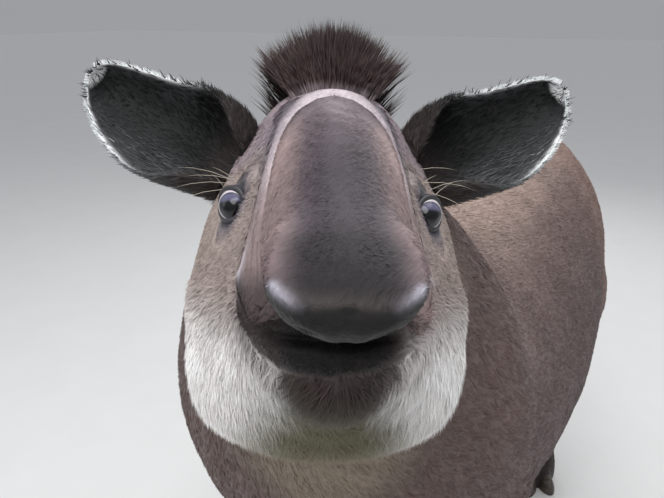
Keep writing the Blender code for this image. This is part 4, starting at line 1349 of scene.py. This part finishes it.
def make_floor_finish():
    finish, tree, shader = new_finish("pale_floor")
    speck = add_noise(tree, 6, 4)
    colour = two_tones(tree, speck, (0.72, 0.72, 0.71), (0.77, 0.77, 0.76))
    tree.links.new(colour, shader.inputs["Base Color"])
    shader.inputs["Roughness"].default_value = 0.7
    return finish


def put_on(item, finish):
    item.data.materials.clear()
    item.data.materials.append(finish)
    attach(item, "root")
    return item


def ear_frame(side):
    """Base and tip of the ear, and its directions along, to the front and across, in the head's frame."""
    base = Vector((EAR_BASE[0], side * EAR_BASE[1], EAR_BASE[2]))
    tip = Vector((EAR_TIP[0], side * EAR_TIP[1], EAR_TIP[2]))
    along = (tip - base).normalized()
    facing = Vector((EAR_FACING[0], side * EAR_FACING[1], EAR_FACING[2]))
    facing = (facing - along * facing.dot(along)).normalized()
    return base, tip, along, facing, facing.cross(along) * side


def ear_place(side, station, share, out=0.0):
    """A place on the cup, whose edges are at share -1 and 1, and how far out from its sheet."""
    base, tip, along, facing, upward = ear_frame(side)
    u, half, upper, curl, wall = station
    curl = math.radians(curl)
    radius = half / math.sin(min(curl, math.pi / 2)) * 0.985
    size = radius + out * wall * 0.30
    reach = size * math.sin(share * curl)
    if reach > 0:
        reach *= upper
    depth = size * math.cos(share * curl) - 0.35 * radius
    return on_head(*(base + (tip - base) * u + upward * reach - facing * depth))


def ear_tone(u, share, outer):
    """Brown outside, black inside and greyer toward its edges as painted sheen, white along the edge."""
    edge = max(abs(share), ramp(u, 0.86, 1.0))
    white = ramp(edge, 0.88, 0.985) * ramp(u, 0.30, 0.75)
    colour = EAR_BROWN
    if not outer:
        # painted sheen: grey on the black cup toward its edges
        colour = EAR_BLACK * (1 - 0.5 * abs(share) ** 3) + EAR_GREY_AND_SHEEN * (0.02 + 0.35 * abs(share) ** 3)
        colour = colour * (1.15 - 0.25 * u)
    return blend(colour, EAR_WHITE, white)


EAR_COLUMNS = 44


def make_ear(side):
    """The cupped leaf with a thin rounded edge, coloured by how far a place is from its edge."""
    rings = []
    tones = []
    across = [2 * column / EAR_COLUMNS - 1 for column in range(EAR_COLUMNS + 1)]
    for station in smooth_row(EAR, 7):
        rings.append([ear_place(side, station, share * out, out) for out in (1, -1) for share in across])
        tones.append([ear_tone(station[0], share, out > 0) for out in (1, -1) for share in across])
    ear = loft(f"ear_shell_{SIDE_WORD[side]}", rings)
    ends = np.array([tones[0][0], tones[-1][0]])
    set_colours(ear, np.vstack([np.array(tones).reshape(-1, 3), ends]))
    smooth_shade(ear)
    unwrap(ear)
    return ear


def ear_hair(side, ear, finish):
    """Short hair over the ear and a dense pale fringe on its edge."""
    ground = Ground(ear)
    base, tip, along, facing, upward = ear_frame(side)
    base_place = np.array(on_head(*base))
    way = np.array(FORWARD * along.x + LEFT * along.y + UP * along.z)
    front = np.array(FORWARD * facing.x + LEFT * facing.y + UP * facing.z)
    high = np.array(FORWARD * upward.x + LEFT * upward.y + UP * upward.z)
    span = (tip - base).length

    def share_of(places):
        return (places - base_place) @ way / span

    def sideways(places):
        return (places - base_place) @ high

    def blades(name, count, density, long, wide, lift, colour_of, tip_shade):
        count = int(count * THIN)
        places, ways, maps = ground.roots(count, density)
        off = sideways(places)
        lie = way + 0.55 * np.sign(off)[:, None] * high * ramp(np.abs(off), 0.0, 0.03)[:, None]
        lie = along_surface(lie + CHANCE.normal(0, 0.22, (count, 3)), ways)
        rise = lift * CHANCE.uniform(0.5, 1.4, count)
        reach = long * CHANCE.uniform(0.6, 1.2, count)
        start = bent_up(lie, ways, rise)
        root = places - ways * 0.0004
        middle = root + start * (reach * 0.5)[:, None]
        end = middle + unit(start + lie * 0.6) * (reach * 0.5)[:, None]
        spine = np.stack([root, middle, end], axis=1)
        tone = colour_of(places) * (1 + CHANCE.normal(0, 0.14, count))[:, None]
        tones = np.stack([tone * 0.85, tone, tone * tip_shade], axis=1)
        across = unit(np.cross(ways, lie) + 0.3 * CHANCE.normal(0, 1, (count, 3)))
        wide = wide * CHANCE.uniform(0.7, 1.3, count)
        put_on(build_tufts(name, spine, across, wide, maps, tones, (1.0, 0.8)), finish)

    def outside(places, ways):
        return ramp(-(ways @ front), -0.1, 0.3) + 0.02

    def outer_tone(places):
        colour = mix(EAR_BROWN, EAR_BLACK, ramp(share_of(places), 0.1, 0.5) * 0.5)
        edge = ramp(np.abs(sideways(places)), 0.030, 0.046) * ramp(share_of(places), 0.45, 0.8)
        return mix(colour, EAR_WHITE, edge * 0.6)

    def inside(places, ways):
        toward = ramp(ways @ front, 0.0, 0.4)
        return toward * (0.25 + 1.5 * (1 - ramp(share_of(places), 0.15, 0.55)))

    def inner_tone(places):
        low = ramp(-sideways(places), 0.005, 0.035)
        # grey over the lower side of the cup, partly painted sheen
        colour = mix(EAR_BLACK, EAR_GREY_AND_SHEEN, low * 0.55)
        return mix(colour, EAR_BROWN, (1 - ramp(share_of(places), 0.1, 0.3)) * 0.8)

    word = SIDE_WORD[side]
    blades(f"ear_back_hair_{word}", 9000, outside, 0.010, 0.0011, 0.30, outer_tone, 1.2)
    blades(f"ear_cup_hair_{word}", 5200, inside, 0.011, 0.0009, 0.35, inner_tone, 1.3)
    rim_fringe(side, finish, ground)


def between_rows(rows, place):
    """The row at a place that may lie between two of them."""
    low = int(place)
    return rows[low] + (rows[min(low + 1, len(rows) - 1)] - rows[low]) * (place - low)


def rim_fringe(side, finish, ground):
    """White hairs set along the very edge of the cup, longest on its outer part."""
    along, facing, upward = ear_frame(side)[2:]
    rows = smooth_row(EAR, 40)
    count = int(3200 * THIN)
    picks = CHANCE.uniform(0.22, 0.995, count) * (len(rows) - 1)
    edges = CHANCE.choice((-1, 1), count)
    spine = []
    across = []
    tones = []
    maps = []
    for pick, edge in zip(picks, edges):
        station = between_rows(rows, pick)
        u = station[0]
        start = ear_place(side, station, edge * (1 - 0.10 * CHANCE.random() ** 2))
        out = upward * edge * (1.0 - 0.5 * u) + along * (0.35 + 1.2 * u * u)
        out = out + facing * CHANCE.uniform(-0.25, 0.5)
        out = (out + Vector(CHANCE.normal(0, 0.16, 3))).normalized()
        white = ramp(u, 0.30, 0.62) if edge > 0 else ramp(u, 0.45, 0.8)
        long = (0.0034 + 0.0012 * white) * CHANCE.uniform(0.5, 1.2)
        way = FORWARD * out.x + LEFT * out.y + UP * out.z
        spine.append((start, start + way * long * 0.5, start + way * long + FORWARD * long * 0.15))
        across.append(way.cross(Vector(CHANCE.normal(0, 1, 3))).normalized())
        colour = blend(EAR_GREY_AND_SHEEN * 0.9, EAR_WHITE, white)
        tones.append((colour * 0.9, colour, colour))
        maps.append(ground.map_at(ground.tree.find_nearest(start)[2]))
    spine, across, maps, tones = (np.array(values) for values in (spine, across, maps, tones))
    width = np.full(count, 0.0010)
    fringe = build_tufts(f"ear_rim_hair_{SIDE_WORD[side]}", spine, across, width, maps, tones, (1.0, 0.8))
    put_on(fringe, finish)


def make_eye(side, finish):
    """An eyeball with its pole on the gaze and a low bulge over the iris."""
    word = SIDE_WORD[side]
    centre = np.array(eye_centre(side))
    bpy.ops.mesh.primitive_uv_sphere_add(segments=96, ring_count=64, radius=EYE_RADIUS - 0.0003)
    eye = bpy.context.object
    eye.name = eye.data.name = f"eyeball_{word}"
    look = (FORWARD * 0.90 + LEFT * (0.34 * side) - UP * 0.26).normalized()
    places = points_of(eye)
    angle = np.arccos(np.clip(places[:, 2] / np.linalg.norm(places, axis=1), -1, 1))
    places *= (1 + 0.035 * (1 - ramp(angle, 0.25, 0.62)))[:, None]
    places = places @ np.array(look.to_track_quat("Z", "Y").to_matrix()).T + centre
    set_points(eye, places)
    height = (places - centre) @ np.array(UP) / EYE_RADIUS
    for name, values in (("from_gaze", angle / (math.pi / 2)), ("height", height)):
        layer = eye.data.attributes.new(name, "FLOAT", "POINT")
        layer.data.foreach_set("value", values.astype(np.float32))
    smooth_shade(eye)
    unwrap(eye)
    put_on(eye, finish)
    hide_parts(f"eye_{word}")


# degrees past the edge of the lids' opening, height over the eyeball
LID_PROFILE = [
    (-4, -0.0010),
    (0, 0.0001),
    (1.5, 0.0010),
    (4, 0.0016),
    (8, 0.0018),
    (12, 0.0013),
    (17, 0.0002),
    (24, -0.0025),
]
LID_STEPS = 96


def make_lids(side, finish):
    """The thick soft rims of both lids, from behind the opening out to under the face's hair."""
    centre = eye_centre(side)
    outward, across, rise = gaze(side)
    points = []
    for step in range(LID_STEPS):
        turn = 2 * math.pi * step / LID_STEPS
        up_share = math.sin(turn)
        open_across = OPENING["away" if math.cos(turn) * side > 0 else "nose"]
        open_up = OPENING["up" if up_share > 0 else "down"]
        for extra, height in smooth_row(LID_PROFILE, 3):
            wide = math.radians(open_across + extra) * math.cos(turn)
            tall = math.radians(open_up + extra) * up_share
            tilt = math.hypot(wide, tall)
            way = outward * math.cos(tilt) + (across * wide + rise * tall) * (math.sin(tilt) / tilt)
            crease = 0.0002 * math.sin(extra * 0.8) * min(max(extra, 0) / 8, 1)
            thick = height * (1.0 + 0.5 * max(up_share, 0))
            points.append(centre + way * (EYE_RADIUS + thick + crease))
    count = len(points) // LID_STEPS
    faces = []
    for step in range(LID_STEPS):
        here = step * count
        after = (step + 1) % LID_STEPS * count
        for index in range(count - 1):
            faces.append((here + index, after + index, after + index + 1, here + index + 1))
    lids = new_object(f"eyelids_{SIDE_WORD[side]}", points, faces)
    if np.mean(normals_of(lids) @ np.array(outward)) < 0:
        lids.data.flip_normals()
    smooth_shade(lids)
    unwrap(lids)
    put_on(lids, finish)


HOOF_HALF_SIZE = (0.0212, 0.0375, 0.0475)
HOOF_CUTS = (((0, 0.001, 0), (0, 1, 0)), ((0, 0, 0.0008), (0, 0, -1)))


def make_hoof(name, foot, angle, out, scale, side, finish):
    """A horn toe: a ball drawn long, cut flat where it leaves the toe's flesh and at its sole."""
    ahead, across = toe_way(angle, side)
    bpy.ops.mesh.primitive_uv_sphere_add(segments=28, ring_count=18, radius=1.0)
    hoof = bpy.context.object
    hoof.name = hoof.data.name = name.replace("hoof_", "horn_")
    bpy.ops.object.mode_set(mode="EDIT")
    bpy.ops.mesh.select_all(action="SELECT")
    bpy.ops.transform.resize(value=[half * scale for half in HOOF_HALF_SIZE])
    for place, way in HOOF_CUTS:
        bpy.ops.mesh.select_all(action="SELECT")
        bpy.ops.mesh.bisect(plane_co=place, plane_no=way, use_fill=True, clear_outer=True, clear_inner=False)
    bpy.ops.object.mode_set(mode="OBJECT")
    places = points_of(hoof)
    rings = 0.00035 * np.sin(places[:, 1] / 0.0042)
    places += unit(places * (1, 0, 1)) * (rings * (places[:, 2] > 0.003))[:, None]
    root = foot + ahead * (TOE_PARTING * scale + out)
    places = places @ np.array([across, -ahead, Vector((0, 0, 1))]) + np.array(root)
    places[:, 2] = np.maximum(places[:, 2], 0.0002)
    set_points(hoof, places)
    close_normals(hoof)
    finish_with(hoof, "BEVEL", width=0.0009, segments=2, limit_method="ANGLE", angle_limit=math.radians(50))
    select_only(hoof)
    bpy.ops.object.shade_smooth_by_angle(angle=math.radians(45))
    unwrap(hoof)
    put_on(hoof, finish)
    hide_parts(name)


def crest_rows():
    rows = []
    for x, z, length in CREST_ON_HEAD:
        rows.append((*on_head(x, 0, z), *FORWARD, *UP, length))
    for number, length in CREST_ON_NECK:
        centre, forward, left, rise = body_frame(BODY[number])
        rows.append((*centre, *forward, *rise, length))
    return smooth_row(rows, 12)


def clump_share(clump, first, second, third):
    """A value from 0 to 1 that one clump of hairs has in common."""
    value = math.sin(clump[0] * first + clump[1] * second) * third
    return value - math.floor(value)


def bristle_tones(share, along, wander, other):
    """Tones from root to tip: dark, paler at the crest's edges and at its front roots."""
    base = blend(CREST_DARK * 0.26, CREST_BROWN, 0.08 + 0.35 * wander) * CHANCE.uniform(0.75, 1.25)
    pale = 0.20 * min(abs(share), 1.0) ** 2 + 0.08 * other
    paler = blend(base, FOREHEAD, 0.6 * (1 - ramp(along, 0.0, 1.6)))
    return paler * 0.8, blend(base, paler, 0.6), base, blend(base, CREST_PALE, pale)


def grow_crest(ground, finish):
    """Dense stiff hair that stands fanned along the middle of crown and neck, in loose clumps."""
    rows = crest_rows()
    count = int(26000 * (1.0))
    picks = CHANCE.random(count) ** 1.25 * (len(rows) - 1)
    shares = np.clip(CHANCE.normal(0, 0.55, count), -1.15, 1.15)
    clumps = np.stack([np.round(picks * 0.9), np.round(shares * 3.5)], axis=1)
    spine = []
    across = []
    tones = []
    maps = []
    for pick, share, clump in zip(picks, shares, clumps):
        row = between_rows(rows, pick)
        centre = Vector(row[0:3])
        forward = Vector(row[3:6]).normalized()
        rise = Vector(row[6:9])
        rise = (rise - forward * rise.dot(forward)).normalized()
        left = rise.cross(forward)
        wander = clump_share(clump, 12.9898, 78.233, 43758.5453)
        other = clump_share(clump, 39.346, 11.135, 24634.6345)
        fan = math.radians(32 * share + 9 * (wander - 0.5) + CHANCE.normal(0, 3.5))
        outward = rise * math.cos(fan) + left * math.sin(fan)
        outward = (outward + forward * (0.16 * (other - 0.5) + CHANCE.normal(0, 0.05))).normalized()
        narrow = 1 - 0.75 * ramp(pick / len(rows), 0.72, 1.0)
        hit = ground.tree.ray_cast(centre + rise * 0.6 + left * (0.030 * share * narrow), -rise)
        if hit[0] is None:
            continue
        length = row[9] * (0.84 + 0.14 * wander) * CHANCE.uniform(0.80, 1.03) * (1 - 0.16 * abs(share))
        root = hit[0] - rise * 0.002
        lean = 0.22 * length
        steps = (0.0, 0.34, 0.67, 1.0)
        spine.append([root + outward * (length * s) - forward * (lean * s * s) for s in steps])
        across.append(outward.cross(Vector(CHANCE.normal(0, 1, 3))).normalized())
        tones.append(bristle_tones(share, pick, wander, other))
        maps.append(ground.map_at(hit[2]))
    width = 0.0011 * CHANCE.uniform(0.8, 1.3, len(spine))
    spine, across, maps, tones = (np.array(values) for values in (spine, across, maps, tones))
    crest = build_tufts("crest_bristles", spine, across, width, maps, tones, (1.0, 0.95, 0.7))
    put_on(crest, finish)


def grow_whiskers(ground, finish):
    """Single long pale hairs before the ears and over the eyes."""
    starts = []
    for side in SIDE_WORD:
        for _ in range(4):
            x = CHANCE.uniform(-0.060, -0.035)
            y = side * CHANCE.uniform(0.10, 0.12)
            place = on_head(x, y, CHANCE.uniform(0.030, 0.070))
            way = FORWARD * 0.25 + LEFT * side + UP * CHANCE.uniform(-0.05, 0.35)
            starts.append((place, way, CHANCE.uniform(0.035, 0.065)))
        for _ in range(2):
            place = on_head(CHANCE.uniform(-0.01, 0.015), side * 0.10, CHANCE.uniform(0.026, 0.038))
            way = FORWARD * 0.5 + LEFT * (0.7 * side) + UP * 0.7
            starts.append((place, way, CHANCE.uniform(0.016, 0.030)))
    spine = []
    across = []
    maps = []
    for place, way, length in starts:
        root, _, triangle, _ = ground.tree.find_nearest(place)
        way = (way.normalized() + Vector(CHANCE.normal(0, 0.12, 3))).normalized()
        droop = Vector((0, 0, -0.25 * length))
        spine.append([root + way * (length * s) + droop * (s * s) for s in (0.0, 0.33, 0.67, 1.0)])
        across.append(way.cross(FORWARD + UP * 0.3).normalized())
        maps.append(ground.map_at(triangle))
    spine, across, maps = (np.array(values) for values in (spine, across, maps))
    width = np.full(len(spine), 0.00045)
    tones = np.tile(WHISKER_PALE, (len(spine), 4, 1))
    whiskers = build_tufts("whiskers", spine, across, width, maps, tones, (1.0, 0.9, 0.7))
    put_on(whiskers, finish)


def even(value):
    """The same value at every place."""
    return lambda places: np.full(len(places), value)


def upper_leg(places):
    return 1 - ramp(places[:, 2], 0.25, 0.55)


def trunk_density(places, ways):
    leg = 1 - ramp(places[:, 2], 0.20, 0.45)
    return (1 - head_share(places)) * (1 - 0.35 * leg) * ramp(places[:, 2], 0.03, 0.06) + 1e-6


def trunk_length(places):
    return 0.020 - 0.011 * upper_leg(places)


def trunk_width(places):
    return 0.0017 - 0.0005 * upper_leg(places)


def clear_of_eyes(places):
    return ramp(eye_gap(in_head(places)), 0.0215, 0.027)


def face_density(places, ways):
    local = in_head(places)
    mouth = ramp(lips_share(local), 0.1, 0.6)
    share = head_share(places) * (1 - 0.95 * beard_share(local)) * (1 - snout_share(local)) * (1 - mouth)
    return share * clear_of_eyes(places) * (1 - ramp(local[:, 0], 0.17, 0.2)) + 1e-9


def face_length(places):
    near = 1 - ramp(np.linalg.norm(in_head(places) * (1, 0, 1), axis=1), 0.02, 0.06)
    return 0.0090 - 0.004 * near


def beard_density(places, ways):
    local = in_head(places)
    mouth = ramp(lips_share(local), 0.0, 0.35)
    return head_share(places) * beard_share(local) * (1 - mouth) * clear_of_eyes(places) + 1e-9


def beard_length(places):
    local = in_head(places)
    return 0.013 + 0.013 * ramp(-local[:, 2], 0.05, 0.15) - 0.006 * ramp(local[:, 0], 0.05, 0.12)


def nose_density(places, ways):
    local = in_head(places)
    cover = np.maximum(snout_share(local), 0.9 * lips_share(local))
    return cover * (1 - ramp(local[:, 0], 0.222, 0.240)) * clear_of_eyes(places) + 1e-9


# number of tufts, density, length, width, lift, unevenness, shade of the tips
TRUNK_COAT = (64000, trunk_density, trunk_length, trunk_width, 0.14, 0.18, 1.15)
FACE_COAT = (60000, face_density, face_length, even(0.0010), 0.17, 0.28, 1.25)
BEARD_COAT = (62000, beard_density, beard_length, even(0.0009), 0.36, 0.24, 1.08)
NOSE_COAT = (62000, nose_density, even(0.0042), even(0.00045), 0.10, 0.25, 1.12)
COAT = (
    ("trunk_coat_1", TRUNK_COAT, "hide"),
    ("trunk_coat_2", TRUNK_COAT, "hide"),
    ("face_coat", FACE_COAT, "hide"),
    ("beard_coat_1", BEARD_COAT, "hide"),
    ("beard_coat_2", BEARD_COAT, "hide"),
    ("nose_coat", NOSE_COAT, "snout_hide"),
)


def grow_coat(ground, finish):
    for name, hair, slot_name in COAT:
        put_on(grow(name, ground, *hair), finish)


HORIZON_LIGHT = 0.358
ZENITH_LIGHT = 0.49
LAMPS = (
    ("key", (0.6, -2.6, 3.4), 2.6, 78),
    ("fill", (-2.4, -2.0, 1.8), 2.2, 10),
    ("top", (0.2, 0.2, 3.6), 3.0, 46),
    ("back", (-0.6, 3.0, 2.6), 2.0, 26),
)
LIT_PLACE = Vector((0.05, -0.3, 0.8))


def build_sky():
    """Pale light from all round, as bright at the horizon as the floor is there."""
    world = bpy.data.worlds.new("studio")
    bpy.context.scene.world = world
    world.use_nodes = True
    tree = world.node_tree
    background = tree.nodes["Background"]
    direction = node(tree, "ShaderNodeTexCoord")
    parts = node(tree, "ShaderNodeSeparateXYZ")
    fade = node(tree, "ShaderNodeMapRange")
    fade.inputs["From Max"].default_value = 0.30
    fade.inputs["To Min"].default_value = HORIZON_LIGHT
    fade.inputs["To Max"].default_value = ZENITH_LIGHT
    tree.links.new(direction.outputs["Generated"], parts.inputs["Vector"])
    tree.links.new(parts.outputs["Z"], fade.inputs["Value"])
    tree.links.new(fade.outputs["Result"], background.inputs["Strength"])
    background.inputs["Color"].default_value = (0.93, 0.95, 1.0, 1)


def build_studio():
    bpy.ops.mesh.primitive_plane_add(size=60, location=(0, 0, -0.0005))
    floor = bpy.context.object
    floor.name = "studio_floor"
    bpy.ops.object.transform_apply(location=True)
    floor.data.materials.append(make_floor_finish())
    build_sky()
    for name, place, size, power in LAMPS:
        light = bpy.data.lights.new(name, "AREA")
        light.shape = "DISK"
        light.size = size
        light.energy = power
        lamp = add_object(name, light)
        lamp.location = place
        lamp.rotation_mode = "QUATERNION"
        lamp.rotation_quaternion = (LIT_PLACE - Vector(place)).to_track_quat("-Z", "Y")


CAMERA_FROM_EYES = Vector((0.2388, -0.4481, 0.1500))
CAMERA_TURN = math.radians(28)
CAMERA_DIP = math.radians(20)
PICTURE_WIDTH = 664  # pixels
FOCAL_LENGTH = 665  # pixels
SENSOR_WIDTH = 36


def build_camera():
    data = bpy.data.cameras.new("photo_view")
    data.sensor_width = SENSOR_WIDTH
    data.lens = FOCAL_LENGTH / PICTURE_WIDTH * SENSOR_WIDTH
    data.clip_start = 0.02
    camera = add_object("photo_view", data)
    level = math.cos(CAMERA_DIP)
    look = Vector((-math.sin(CAMERA_TURN) * level, math.cos(CAMERA_TURN) * level, -math.sin(CAMERA_DIP)))
    right = Vector((math.cos(CAMERA_TURN), math.sin(CAMERA_TURN), 0))
    up = right.cross(look)
    turn = Matrix((right, up, -look)).transposed().to_4x4()
    camera.matrix_world = Matrix.Translation(EYE_MID + CAMERA_FROM_EYES) @ turn
    bpy.context.scene.camera = camera
    bpy.context.scene.view_settings.view_transform = "Standard"


def make_skin(finish):
    skin = shape_skin()
    sculpt(skin)
    lighten(skin)
    set_colours(skin, hide_colour(points_of(skin), normals_of(skin)))
    smooth_shade(skin)
    unwrap(skin)
    put_on(skin, finish)
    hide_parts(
        "head",
        "neck",
        "torso",
        "snout",
        "tail",
        "leg_front_left",
        "leg_front_right",
        "leg_hind_left",
        "leg_hind_right",
    )
    return skin


def main():
    hide = make_hide()
    hair = make_tuft_finish()
    lid_finish = make_lid_finish()
    eye_finish = make_eye_finish()
    horn = make_horn()
    ground = Ground(make_skin(hide))
    for side, word in SIDE_WORD.items():
        make_eye(side, eye_finish)
        make_lids(side, lid_finish)
        ear = make_ear(side)
        put_on(ear, hide)
        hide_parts(f"ear_{word}")
        ear_hair(side, ear, hair)
    for name, foot, angle, out, scale, side in feet():
        make_hoof(name, foot, angle, out, scale, side, horn)
    grow_coat(ground, hair)
    grow_crest(ground, hair)
    grow_whiskers(ground, hair)
    build_studio()
    build_camera()


main()
